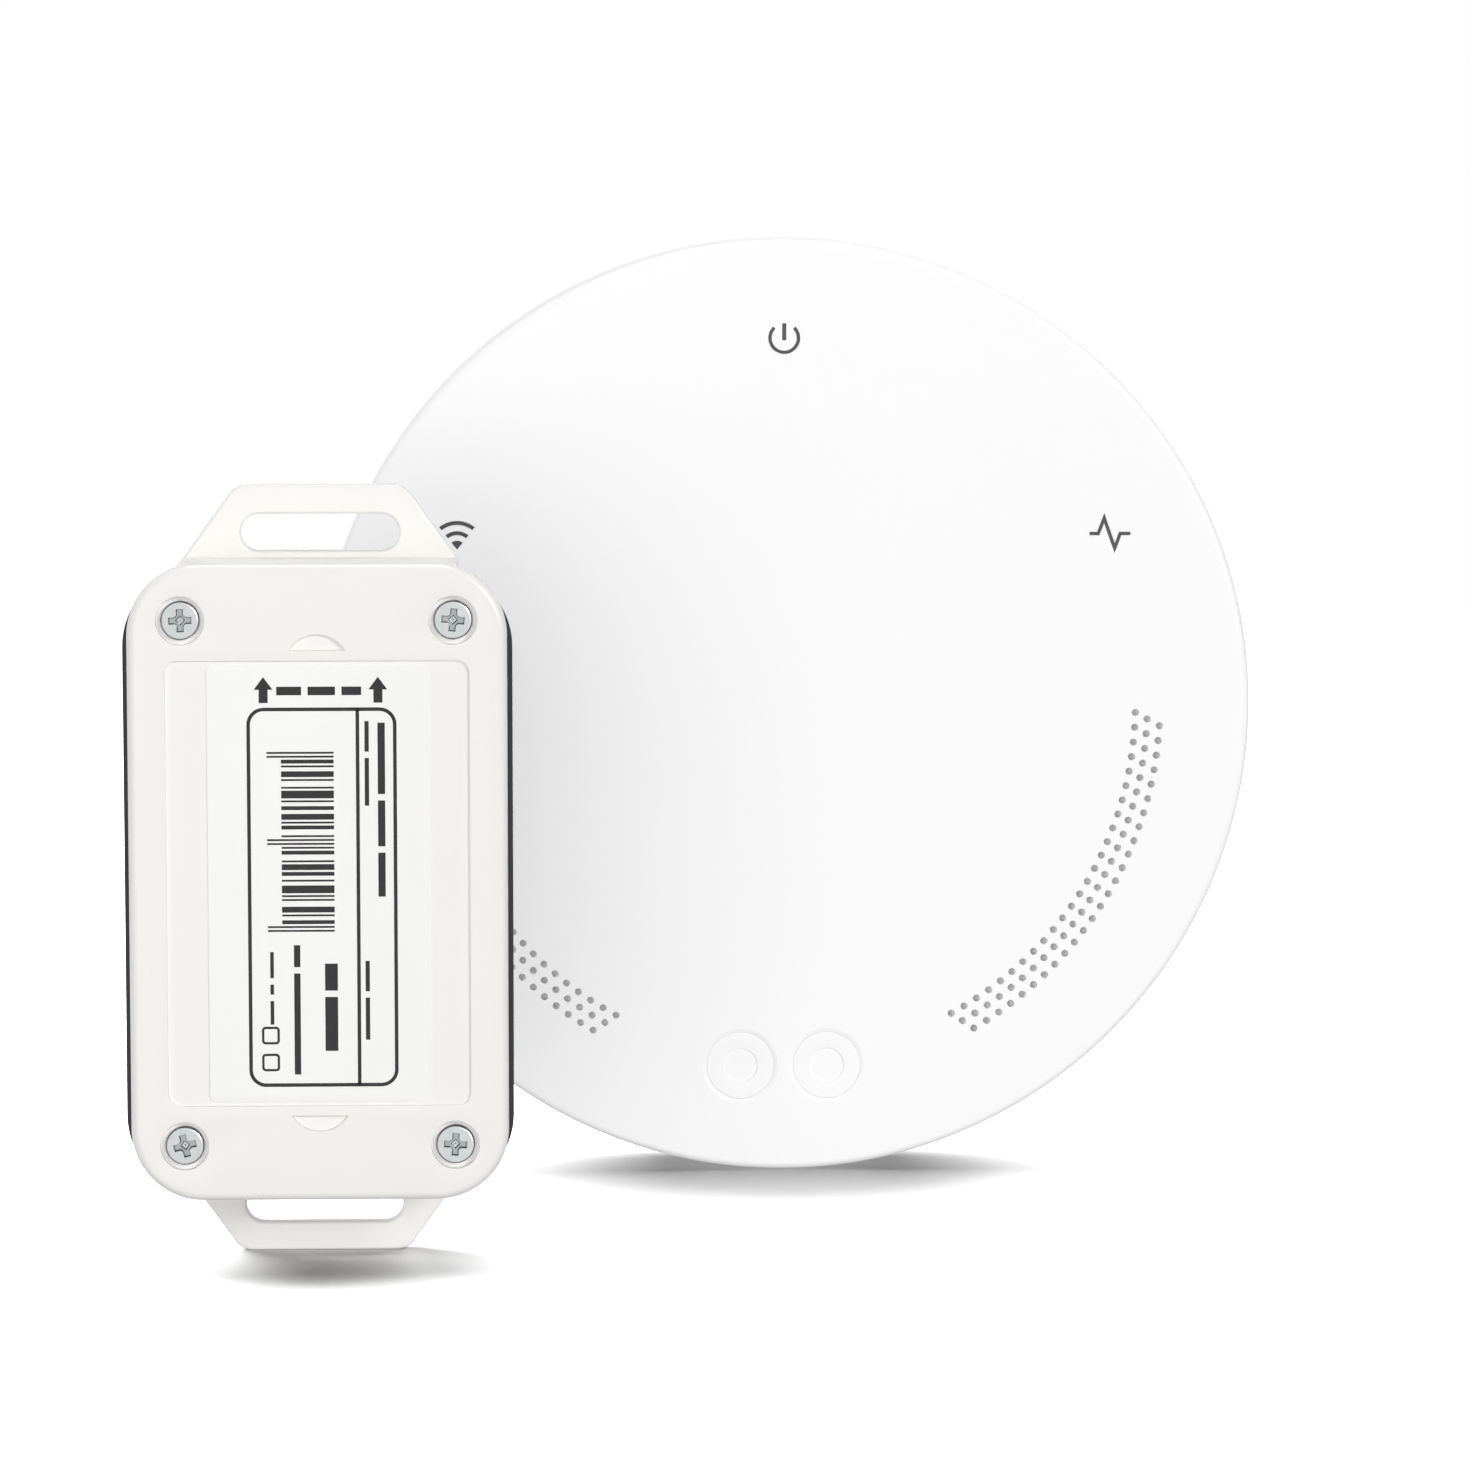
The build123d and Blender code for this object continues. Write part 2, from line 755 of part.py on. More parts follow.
# Siren that warns before the door moves
with BuildPart() as siren:
    with BuildSketch(at_depth(board_front)):
        with Locations((0, -siren_drop)):
            Circle(siren_d / 2)
    extrude(amount=board_room - siren_clear)
    with BuildSketch(at_depth(face_inner - siren_clear)):
        with Locations((0, -siren_drop)):
            Circle(siren_hole_d / 2)
    extrude(amount=-siren_hole_deep, mode=Mode.SUBTRACT)
siren.part.label = "siren"
export_step(siren.part, "parts/siren.step")

# Receiver for the sensor, and its wire aerial round the board's edge
with BuildPart() as sensor_receiver:
    with BuildSketch(at_depth(board_front)):
        with Locations((board_r - receiver_inset, receiver_rise)):
            Rectangle(receiver_w, receiver_l)
    extrude(amount=receiver_h)
sensor_receiver.part.label = "sensor_receiver"
export_step(sensor_receiver.part, "parts/sensor_receiver.step")

with BuildPart() as receiver_aerial:
    with BuildLine(at_depth(board_front + aerial_d / 2)) as aerial_path:
        CenterArc((0, 0), board_r - aerial_inset, aerial_start_angle, aerial_sweep_angle)
    with BuildSketch(Plane(origin=aerial_path.line @ 0, z_dir=aerial_path.line % 0)):
        Circle(aerial_d / 2)
    sweep()
receiver_aerial.part.label = "receiver_aerial"
export_step(receiver_aerial.part, "parts/receiver_aerial.step")

# Capacitors and the controller chip
with BuildPart() as capacitors:
    with BuildSketch(at_depth(board_front)):
        with Locations(*can_places):
            Circle(can_d / 2)
    extrude(amount=board_room - can_clear)
capacitors.part.label = "capacitors"
export_step(capacitors.part, "parts/capacitors.step")

with BuildPart() as control_chip:
    with BuildSketch(at_depth(board_back)):
        with Locations((0, -chip_drop)):
            Rectangle(chip_w, chip_w)
    extrude(amount=-chip_h)
control_chip.part.label = "control_chip"
export_step(control_chip.part, "parts/control_chip.step")

# Relay that closes the opener's push-button circuit
with BuildPart() as relay:
    with BuildSketch(at_depth(base_t + relay_floor_gap)):
        with Locations((0, relay_rise)):
            Rectangle(relay_w, relay_l)
    extrude(amount=board_back - base_t - relay_floor_gap)
relay.part.label = "relay"
export_step(relay.part, "parts/relay.step")

# Two-way screw terminal behind the bay's wall
with BuildPart() as terminal_block:
    with BuildSketch(at_depth(base_t + terminal_floor_gap)):
        with Locations((terminal_x, terminal_mid_z)):
            Rectangle(terminal_w, terminal_l)
    extrude(amount=board_back - base_t - terminal_floor_gap)
    with BuildSketch(Plane.XY.offset(-bay_inner)):
        with Locations((0, -jack_depth)):
            with Locations(*clamp_points):
                Circle(wire_hole_d / 2)
    extrude(amount=wire_hole_deep, mode=Mode.SUBTRACT)
    with BuildSketch(at_depth(base_t + terminal_floor_gap)):
        with Locations((0, terminal_mid_z)):
            with Locations(*clamp_points):
                Circle(well_d / 2)
    extrude(amount=well_deep, mode=Mode.SUBTRACT)
terminal_block.part.label = "terminal_block"
export_step(terminal_block.part, "parts/terminal_block.step")

with BuildPart() as terminal_screws:
    with BuildSketch(at_depth(base_t + terminal_floor_gap)):
        with Locations((0, terminal_mid_z)):
            with Locations(*clamp_points):
                Circle(clamp_screw_d / 2)
    extrude(amount=clamp_screw_h)
    with BuildSketch(at_depth(base_t + terminal_floor_gap)):
        with Locations((0, terminal_mid_z)):
            with Locations(*clamp_points):
                Rectangle(clamp_screw_d, clamp_slot_w)
    extrude(amount=clamp_screw_h * clamp_slot_share, mode=Mode.SUBTRACT)
terminal_screws.part.label = "terminal_screws"
export_step(terminal_screws.part, "parts/terminal_screws.step")

# Power socket, whose round nose fills its hole in the bay's wall
with BuildPart() as power_jack:
    with BuildSketch(at_depth(base_t + jack_floor_gap)):
        with Locations((jack_x, -bay_inner)):
            Rectangle(jack_w, jack_l, align=(Align.CENTER, Align.MIN))
    extrude(amount=board_back - base_t - jack_floor_gap)
    with BuildSketch(Plane.XY.offset(-bay_drop + port_set_back)):
        with Locations((jack_x, -jack_depth)):
            Circle(jack_nose_d / 2)
    extrude(amount=bay_wall - port_set_back)
    with BuildSketch(Plane.XY.offset(-bay_drop + port_set_back)):
        with Locations((jack_x, -jack_depth)):
            Circle(jack_bore_d / 2)
    extrude(amount=jack_bore_deep, mode=Mode.SUBTRACT)
power_jack.part.label = "power_jack"
export_step(power_jack.part, "parts/power_jack.step")

with BuildPart() as power_jack_pin:
    with BuildSketch(Plane.XY.offset(-bay_drop + port_set_back + jack_bore_deep)):
        with Locations((jack_x, -jack_depth)):
            Circle(jack_pin_d / 2)
    extrude(amount=-jack_pin_len)
power_jack_pin.part.label = "power_jack_pin"
export_step(power_jack_pin.part, "parts/power_jack_pin.step")

# Sensor: outlines shared by its shell, lid and gasket
lid_screw_spots = GridLocations(2 * lid_screw_x, 2 * lid_screw_z, 2, 2)
card_screw_spots = Locations((-card_post_x, card_post_z), (card_post_x, card_post_z))

# The hollow of the front shell, less its screw posts and board stands
with BuildPart() as shell_hollow:
    with BuildSketch(at_sensor(shell_rim)):
        RectangleRounded(pocket_w, pocket_h, pocket_corner_r)
    with BuildSketch(at_sensor(shell_floor)):
        RectangleRounded(pocket_floor_w, pocket_floor_h, pocket_corner_r)
    loft()
    with BuildSketch(at_sensor(shell_floor)):
        with lid_screw_spots:
            Circle(shell_post_d / 2)
    extrude(amount=shell_rim - shell_floor, mode=Mode.SUBTRACT)
    with BuildSketch(at_sensor(shell_floor)):
        with GridLocations(2 * card_post_x, 2 * card_post_z, 2, 2):
            Circle(card_post_d / 2)
    extrude(amount=card_stand, mode=Mode.SUBTRACT)

# Front shell: the black half, which faces away from the door
with BuildPart() as sensor_front_shell:
    with BuildSketch(at_sensor(shell_rim)):
        RectangleRounded(shell_w, shell_h, shell_corner_r)
    with BuildSketch(at_sensor(-shell_back)):
        RectangleRounded(shell_front_w, shell_front_h, shell_corner_r)
    loft()
    fillet(sensor_front_shell.faces().sort_by(Axis.Y)[-1].edges(), shell_edge_r)
    add(shell_hollow.part, mode=Mode.SUBTRACT)
    with BuildSketch(at_sensor(-ear_t - shell_play)):
        with GridLocations(0, block_bottom - shell_play + shell_h / 2, 1, 2):
            Rectangle(ear_root_w + 2 * shell_play, shell_h / 2 - block_bottom + shell_play)
    extrude(amount=shell_rim + ear_t + shell_play, mode=Mode.SUBTRACT)
    with BuildSketch(at_sensor(shell_rim)):
        with lid_screw_spots:
            Circle((lid_screw_d + screw_play) / 2)
    extrude(amount=-lid_bite - cut_over, mode=Mode.SUBTRACT)
    with BuildSketch(at_sensor(card_back)):
        with card_screw_spots:
            Circle((card_screw_d + screw_play) / 2)
    extrude(amount=-card_bite - screw_play, mode=Mode.SUBTRACT)
    with BuildSketch(at_sensor(shell_rim)):
        RectangleRounded(
            pocket_w + 2 * gasket_inset + 2 * gasket_w,
            pocket_h + 2 * gasket_inset + 2 * gasket_w,
            pocket_corner_r + gasket_inset + gasket_w,
        )
        RectangleRounded(
            pocket_w + 2 * gasket_inset,
            pocket_h + 2 * gasket_inset,
            pocket_corner_r + gasket_inset,
            mode=Mode.SUBTRACT,
        )
    extrude(amount=-gasket_sunk, mode=Mode.SUBTRACT)
    with BuildSketch(at_sensor(-shell_back)):
        with Locations((0, lamp_rise)):
            Circle(pipe_d / 2 + pipe_play)
    extrude(amount=shell_front_t, mode=Mode.SUBTRACT)
sensor_front_shell.part.label = "sensor_front_shell"
export_step(sensor_front_shell.part, "parts/sensor_front_shell.step")

# Back cover: the white half, with both ears, the label panel and the screw seats
with BuildPart() as sensor_back_cover:
    with BuildSketch(at_sensor(lid_inner)):
        RectangleRounded(sensor_w, sensor_h, sensor_corner_r)
    extrude(amount=lid_t)
    fillet(sensor_back_cover.faces().sort_by(Axis.Y)[0].edges(), lid_edge_r)
    with BuildSketch(at_sensor(-ear_t)):
        with GridLocations(0, block_top + block_bottom, 1, 2):
            Rectangle(ear_root_w, end_block_t)
    extrude(amount=lid_inner + ear_t)
    for turn in (0, 180):
        with BuildSketch(at_sensor(-ear_t)) as ear:
            with BuildLine(Rot(0, 0, turn)):
                Polyline(
                    (-ear_root_w / 2, block_bottom),
                    (-ear_root_w / 2, ear_root_rise),
                    (-ear_top_w / 2, ear_span / 2),
                    (ear_top_w / 2, ear_span / 2),
                    (ear_root_w / 2, ear_root_rise),
                    (ear_root_w / 2, block_bottom),
                    close=True,
                )
            make_face()
            outer_way = Axis.Y if turn == 0 else -Axis.Y
            fillet(ear.vertices().group_by(outer_way)[-1], ear_corner_r)
        extrude(amount=ear_t)
    with BuildSketch(at_sensor(-ear_t)):
        with GridLocations(0, 2 * slot_rise, 1, 2):
            SlotOverall(slot_w, slot_h)
    extrude(amount=ear_t, mode=Mode.SUBTRACT)
    with BuildSketch(at_sensor(lid_front)):
        RectangleRounded(panel_w, panel_h, panel_corner_r)
    extrude(amount=-panel_deep, mode=Mode.SUBTRACT)
    notch_r = (notch_w**2 / 4 + notch_h**2) / (2 * notch_h)
    for turn in (0, 180):
        with BuildSketch(at_sensor(lid_front)):
            with BuildLine(Rot(0, 0, turn)):
                notch_flat = Line((-notch_w / 2, notch_rise), (notch_w / 2, notch_rise))
                ThreePointArc(notch_flat @ 1, (0, notch_rise + notch_h), notch_flat @ 0)
            make_face()
        extrude(amount=-notch_deep, mode=Mode.SUBTRACT)
    with BuildSketch(at_sensor(lid_front)):
        with lid_screw_spots:
            Circle(lid_bore_d / 2)
    extrude(amount=-lid_bore_deep, mode=Mode.SUBTRACT)
    with BuildSketch(at_sensor(lid_inner)):
        with lid_screw_spots:
            Circle(lid_screw_d / 2 + screw_play)
    extrude(amount=lid_t, mode=Mode.SUBTRACT)
sensor_back_cover.part.label = "sensor_back_cover"
export_step(sensor_back_cover.part, "parts/sensor_back_cover.step")

# Sealing ring between the two halves
with BuildPart() as sensor_gasket:
    with BuildSketch(at_sensor(shell_rim - gasket_sunk)):
        RectangleRounded(
            pocket_w + 2 * gasket_inset + 2 * gasket_w,
            pocket_h + 2 * gasket_inset + 2 * gasket_w,
            pocket_corner_r + gasket_inset + gasket_w,
        )
        RectangleRounded(
            pocket_w + 2 * gasket_inset,
            pocket_h + 2 * gasket_inset,
            pocket_corner_r + gasket_inset,
            mode=Mode.SUBTRACT,
        )
    extrude(amount=gasket_sunk + gasket_proud)
sensor_gasket.part.label = "sensor_gasket"
export_step(sensor_gasket.part, "parts/sensor_gasket.step")

# Sticker in the panel
with BuildPart() as sensor_label:
    with BuildSketch(at_sensor(lid_front - panel_deep)):
        RectangleRounded(label_w, label_h, label_corner_r)
    extrude(amount=label_t)
sensor_label.part.label = "sensor_label"
export_step(sensor_label.part, "parts/sensor_label.step")

# Screws that hold the cover to the shell
with BuildPart() as sensor_cover_screws:
    with BuildSketch(at_sensor(lid_front - lid_bore_deep)):
        with lid_screw_spots:
            Circle(lid_head_d / 2)
    extrude(amount=lid_head_h)
    with BuildSketch(at_sensor(lid_front - lid_bore_deep)):
        with lid_screw_spots:
            Circle(lid_screw_d / 2)
    extrude(amount=shell_rim - lid_bite - lid_front + lid_bore_deep)
    with BuildSketch(at_sensor(lid_front - lid_bore_deep + lid_head_h)):
        with lid_screw_spots:
            Rectangle(lid_drive_span, drive_w)
            Rectangle(drive_w, lid_drive_span)
    extrude(amount=-lid_head_h / 2, mode=Mode.SUBTRACT)
sensor_cover_screws.part.label = "sensor_cover_screws"
export_step(sensor_cover_screws.part, "parts/sensor_cover_screws.step")

# Sensor board on its stands, and the two screws that hold it
with BuildPart() as sensor_board:
    with BuildSketch(at_sensor(card_back)):
        RectangleRounded(card_w, card_h, card_corner_r)
        with card_screw_spots:
            Circle(card_screw_d / 2 + screw_play, mode=Mode.SUBTRACT)
    extrude(amount=card_t)
sensor_board.part.label = "sensor_board"
export_step(sensor_board.part, "parts/sensor_board.step")

with BuildPart() as sensor_board_screws:
    with BuildSketch(at_sensor(card_front)):
        with card_screw_spots:
            Circle(card_head_d / 2)
    extrude(amount=card_head_h)
    with BuildSketch(at_sensor(card_front)):
        with card_screw_spots:
            Circle(card_screw_d / 2)
    extrude(amount=-card_t - card_bite)
sensor_board_screws.part.label = "sensor_board_screws"
export_step(sensor_board_screws.part, "parts/sensor_board_screws.step")

# Battery tray, its cell and a contact at each end of the cell
with BuildPart() as battery_tray:
    with BuildSketch(at_sensor(card_front)):
        with Locations((0, tray_z)):
            Rectangle(tray_out_w, tray_out_h)
    extrude(amount=tray_depth)
    with BuildSketch(at_sensor(card_front + tray_floor_t)):
        with Locations((0, tray_z)):
            Rectangle(tray_out_w - 2 * tray_wall, tray_in_h)
    extrude(amount=tray_depth, mode=Mode.SUBTRACT)
battery_tray.part.label = "battery_tray"
export_step(battery_tray.part, "parts/battery_tray.step")

cell_bottom = sensor_z + tray_z - (cell_len + cell_nub_h) / 2
cell_middle = (sensor_x, -ear_depth - card_front - tray_floor_t - cell_play - cell_d / 2)
with BuildPart() as battery_cell:
    with BuildSketch(Plane.XY.offset(cell_bottom)):
        with Locations(cell_middle):
            Circle(cell_d / 2)
    extrude(amount=cell_len)
    with BuildSketch(Plane.XY.offset(cell_bottom + cell_len)):
        with Locations(cell_middle):
            Circle(cell_nub_d / 2)
    extrude(amount=cell_nub_h)
battery_cell.part.label = "battery_cell"
export_step(battery_cell.part, "parts/battery_cell.step")

with BuildPart() as battery_contacts:
    with BuildSketch(at_sensor(card_front + tray_floor_t)):
        with Locations((0, tray_z)):
            with GridLocations(0, tray_in_h - contact_t, 1, 2):
                Rectangle(contact_w, contact_t)
    extrude(amount=contact_w)
battery_contacts.part.label = "battery_contacts"
export_step(battery_contacts.part, "parts/battery_contacts.step")

# Tilt switch: a ball in a leaning tube, held in a cradle on the board
tube_rise = (ball_tube_len + ball_tube_d) / 2 * sin(radians(ball_lean_angle))
tube_depth = card_front + tube_rise + screw_play
tube_middle = (sensor_x + cradle_x, -ear_depth - tube_depth, sensor_z + row_z)
tube_way = (0, sin(radians(ball_lean_angle)), cos(radians(ball_lean_angle)))
tube_plane = Plane(origin=tube_middle, x_dir=(1, 0, 0), z_dir=tube_way)

with BuildPart() as tilt_switch_tube:
    with BuildSketch(tube_plane.offset(-ball_tube_len / 2)):
        Circle(ball_tube_d / 2)
    extrude(amount=ball_tube_len)
    with BuildSketch(tube_plane.offset(-ball_bore_len / 2)):
        Circle(ball_bore_d / 2)
    extrude(amount=ball_bore_len, mode=Mode.SUBTRACT)
tilt_switch_tube.part.label = "tilt_switch_tube"
export_step(tilt_switch_tube.part, "parts/tilt_switch_tube.step")

with BuildPart() as tilt_switch_cradle:
    with BuildSketch(at_sensor(card_front)):
        with Locations((cradle_x, row_z)):
            Rectangle(cradle_w, cradle_l)
    extrude(amount=cradle_h)
    with BuildSketch(tube_plane.offset(-ball_tube_len)):
        Circle(ball_tube_d / 2 + cradle_play)
    extrude(amount=2 * ball_tube_len, mode=Mode.SUBTRACT)
tilt_switch_cradle.part.label = "tilt_switch_cradle"
export_step(tilt_switch_cradle.part, "parts/tilt_switch_cradle.step")

with BuildPart() as tilt_switch_ball:
    with Locations(tube_plane.offset((ball_d - ball_bore_len) / 2 + ball_end_gap)):
        Sphere(ball_d / 2)
tilt_switch_ball.part.label = "tilt_switch_ball"
export_step(tilt_switch_ball.part, "parts/tilt_switch_ball.step")

# Radio chip, chip aerial and lamp of the sensor
with BuildPart() as sensor_radio_chip:
    with BuildSketch(at_sensor(card_front)):
        with Locations((radio_chip_x, row_z)):
            Rectangle(radio_chip_w, radio_chip_w)
    extrude(amount=radio_chip_h)
sensor_radio_chip.part.label = "sensor_radio_chip"
export_step(sensor_radio_chip.part, "parts/sensor_radio_chip.step")

with BuildPart() as sensor_chip_aerial:
    with BuildSketch(at_sensor(card_front)):
        with Locations((0, row_z)):
            Rectangle(chip_aerial_w, chip_aerial_l)
    extrude(amount=chip_aerial_h)
sensor_chip_aerial.part.label = "sensor_chip_aerial"
export_step(sensor_chip_aerial.part, "parts/sensor_chip_aerial.step")

with BuildPart() as sensor_led:
    with BuildSketch(at_sensor(card_back)):
        with Locations((0, lamp_rise)):
            Rectangle(lamp_w, lamp_l)
    extrude(amount=-lamp_h)
sensor_led.part.label = "sensor_led"
export_step(sensor_led.part, "parts/sensor_led.step")

with BuildPart() as sensor_light_pipe:
    with BuildSketch(at_sensor(-shell_back)):
        with Locations((0, lamp_rise)):
            Circle(pipe_d / 2)
    extrude(amount=shell_front_t + card_stand - lamp_h - pipe_gap)
sensor_light_pipe.part.label = "sensor_light_pipe"
export_step(sensor_light_pipe.part, "parts/sensor_light_pipe.step")
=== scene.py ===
"""Round wall hub of a garage door controller and its tilt sensor, standing on a pale floor."""
import json
import math

import bmesh
import bpy
from mathutils import Matrix, Vector

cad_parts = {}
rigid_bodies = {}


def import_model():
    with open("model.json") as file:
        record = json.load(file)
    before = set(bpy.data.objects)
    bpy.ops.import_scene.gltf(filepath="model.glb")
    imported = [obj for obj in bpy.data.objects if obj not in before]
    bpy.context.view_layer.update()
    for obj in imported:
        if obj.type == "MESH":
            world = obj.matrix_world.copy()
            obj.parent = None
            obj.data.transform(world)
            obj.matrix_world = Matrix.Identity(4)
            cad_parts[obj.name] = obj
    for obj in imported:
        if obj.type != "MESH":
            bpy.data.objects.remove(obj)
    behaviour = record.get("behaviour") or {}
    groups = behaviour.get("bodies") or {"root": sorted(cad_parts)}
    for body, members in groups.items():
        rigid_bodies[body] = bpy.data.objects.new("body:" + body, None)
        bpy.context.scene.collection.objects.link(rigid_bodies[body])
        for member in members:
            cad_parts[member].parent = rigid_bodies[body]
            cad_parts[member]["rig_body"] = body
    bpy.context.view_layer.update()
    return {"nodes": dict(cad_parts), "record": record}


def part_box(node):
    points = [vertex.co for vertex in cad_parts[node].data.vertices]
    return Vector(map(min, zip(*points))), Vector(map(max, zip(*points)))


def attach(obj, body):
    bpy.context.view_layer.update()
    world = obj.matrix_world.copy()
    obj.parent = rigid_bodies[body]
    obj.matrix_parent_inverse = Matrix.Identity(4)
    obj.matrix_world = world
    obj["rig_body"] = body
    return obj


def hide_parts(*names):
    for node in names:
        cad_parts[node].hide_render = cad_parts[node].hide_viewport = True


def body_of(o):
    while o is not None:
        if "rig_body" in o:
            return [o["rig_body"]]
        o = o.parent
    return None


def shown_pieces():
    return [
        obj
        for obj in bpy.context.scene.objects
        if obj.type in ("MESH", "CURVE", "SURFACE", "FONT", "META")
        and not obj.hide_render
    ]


# Lengths are millimetres until a finished mesh is placed. Shapes are drawn in face coordinates:
# x to the viewer's right, y up and z towards the viewer, so z is a depth in front of the wall or the ears.
MM = 0.001
FACING = Matrix(((1, 0, 0, 0), (0, 0, -1, 0), (0, 1, 0, 0), (0, 0, 0, 1)))
SHARP_ANGLE = math.radians(32)
MERGE_GAP = 0.0005
NODE_MERGE_GAP = 0.001

# The Mix node's colour sockets, by number because its other kinds share their names
MIX_ONE, MIX_OTHER, MIXED = 6, 7, 2

# Hub casing
hub_r = 60.0
hub_front = 28.0
seam_depth = 14.0
face_t = 2.2
skirt_t = 2.2
front_edge_r = 1.0
front_edge_steps = 8
rim_segments = 288
face_inner = hub_front - face_t

# Sound holes, and the seats of the cloth behind them
hole_r = 0.45
hole_lip = 0.06
hole_pitch = 1.91
hole_columns = 26
hole_row_radii = (hub_r - 14.74, hub_r - 13.20, hub_r - 11.59)
hole_mid_angle = -31.2
hole_segments = 20
hole_wall_t = 1.0
seat_margin = 1.3
seat_play = 0.2
seat_segments = 60

# Symbols and their light guides
icon_circle_r = hub_r - 12.6
icon_angles = {"power": 90.0, "activity": 28.1, "wireless": 151.9}
icon_gap = 0.04
power_ring_r = 1.82
power_stroke = 0.36
power_gap_half_angle = 45.0
power_segments = 48
power_bar_w = 0.45
power_bar_len = 2.1
power_bar_rise = 0.8
wave_drop = 1.85
wave_radii = (3.4, 2.09)
wave_stroke = 0.44
wave_half_angle = 38.0
wave_segments = 32
fan_r = 1.1
fan_inner_r = 0.02
fan_segments = 20
pulse_stroke = 0.38
pulse_half_w = 2.63
pulse_up = 1.97
pulse_down = 1.87
pulse_x_shares = (-1.0, -0.57, -0.285, 0.236, 0.5, 1.0)
guide_flange_r = 3.8
guide_flange_t = 0.9
guide_flange_segments = 64
guide_stem_r = 1.7
guide_stem_segments = 48

# Buttons
button_x = 5.58
button_y = 13.6 - hub_r
button_r = 4.33
button_bore_r = 4.35
button_lip_w = 0.5
button_lip_deep = 0.16
button_sunk = 0.15
button_edge_r = 0.06
button_flange_r = 5.35
button_flange_t = 0.8
button_flange_gap = 0.1
button_stem_r = 2.2
dimple_r = 2.25
dimple_deep = 0.15
dimple_edge = 0.08
button_segments = 96

# Sensor cover, in depths in front of its ears
sensor_w = 44.4
sensor_h = 75.2
sensor_corner_r = 8.5
sensor_corner_segments = 20
sensor_middle = Vector((-57.4, -80.2, -14.0))
lid_front = 13.3
lid_t = 2.4
lid_edge_r = 1.1
lid_edge_steps = 8
lid_inner = lid_front - lid_t
lip_steps = 4
panel_w = 35.5
panel_h = 52.5
panel_corner_r = 1.6
panel_corner_segments = 10
panel_deep = 0.35
panel_lip = 0.1
moon_w = 6.8
moon_h = 2.0
moon_y = 27.4
moon_deep = 0.5
moon_lip = 0.1
moon_draft = 0.05
moon_segments = 28
lid_screw_x = 15.9
lid_screw_y = 31.0
lid_bore_r = 2.85
lid_bore_deep = 1.3
lid_bore_lip = 0.06
lid_bore_segments = 64
seat_ring_r = 2.36
seat_ring_deep = 1.0

# Ears of the sensor, and the end blocks that carry them
ear_span = 92.0
ear_t = 2.2
ear_root_w = 32.8
ear_top_w = 20.0
ear_root_y = 37.1
ear_corner_r = 2.6
ear_corner_half_turn = 27.0
ear_corner_segments = 10
ear_round = 0.35
ear_round_steps = 4
slot_w = 18.8
slot_h = 4.4
slot_y = 40.4
slot_end_r = slot_h / 2 - 0.01
slot_end_segments = 16
block_top = 37.4
block_t = 2.4
block_corner_r = 0.3
block_corner_segments = 4
block_in_lid = 0.05

# Cover screws. The painted recess shades are how bright the steel is painted, by the depth below the head's
# top: painted shade that darkens the walls of the cross recess.
head_r = 2.25
head_h = 1.0
head_edge_r = 0.28
head_segments = 72
cross_reach = 1.35
cross_half_w = 0.41
cross_corner = 0.66
cross_edge = 0.05
cross_wall_in = 0.10
cross_deep = 0.5
pit_reach = 0.6
pit_deep = 0.25
pit_wall_in = 0.14
pip_r = 0.09
pip_deep = 0.12
pip_segments = 16
shank_r = 1.1
shank_segments = 32
tip_r = 0.5
tip_len = 0.8
screw_turns = {"upper_left": 2.0, "upper_right": -6.0, "lower_left": 14.0, "lower_right": -3.0}
painted_recess_shades = (
    (0.0, 1.0), (0.03, 1.0), (0.10, 0.20), (0.40, 0.20), (0.47, 0.70), (0.52, 0.70),
    (0.57, 0.30), (0.68, 0.30), (0.73, 1.0), (0.77, 1.0), (0.83, 0.15),
)

# Front shell of the sensor, with the gaps for the end blocks
shell_w = 45.6
shell_h = 74.4
shell_corner_r = 9.5
shell_corner_segments = 20
shell_rim = 10.6
shell_back = 9.2
shell_taper = 3.0
shell_edge_r = 3.0
shell_edge_steps = 10
shell_wall = 1.8
shell_wall_deep = 2.0
block_play = 0.15
gap_h = 16.0
gap_len = 30.0
gap_corner_segments = 3

# Label and its print
label_w = 25.8
label_h = 51.6
label_corner_r = 0.8
label_corner_segments = 8
label_t = 0.15
label_edge_r = 0.04
label_edge_steps = 3
label_front = lid_front - panel_deep + label_t
ink_t = 0.012
ink_line = 0.42
ink_corner_segments = 12
ink_frame_left = -8.26
ink_frame_right = 9.25
ink_frame_top = 20.8
ink_frame_bottom = -24.0
ink_frame_r = 2.0
ink_divider_x = 4.68
arrow_xs = (-6.28, 7.10)
arrow_low = 21.35
arrow_high = 24.4
arrow_w = 2.2
arrow_shaft_w = 1.05
arrow_head_h = 1.5
bars_left = -4.27
bars_right = 1.88
bars_top = 15.6
bars_bottom = -5.85
long_bars_left = -5.95
bar_shares = ((2, 1), (1, 2), (3, 1), (1, 3), (1, 1), (4, 1), (1, 2), (2, 2), (3, 1), (1, 1), (2, 3), (1, 1))
stroke_gap = 0.75
heading_strokes = (-4.75, 22.75, 1.0, (2.9, 3.2, 2.3))
column_strokes = (
    (7.45, 19.0, 0.85, (8.4, 5.4, 5.2)), (5.75, 19.2, 0.5, (3.6, 5.6)), (5.7, -9.1, 0.5, (3.6, 5.0)),
    (1.45, -9.4, 1.5, (3.2, 6.4)), (-2.55, -7.2, 0.75, (2.6, 12.0)), (-5.5, -8.0, 0.42, (3.1, 1.2, 2.8)),
)
tick_box_w = 2.1
tick_box_r = 0.45
tick_box_line = 0.28
tick_box_spots = ((-5.7, -17.9), (-5.7, -21.1))

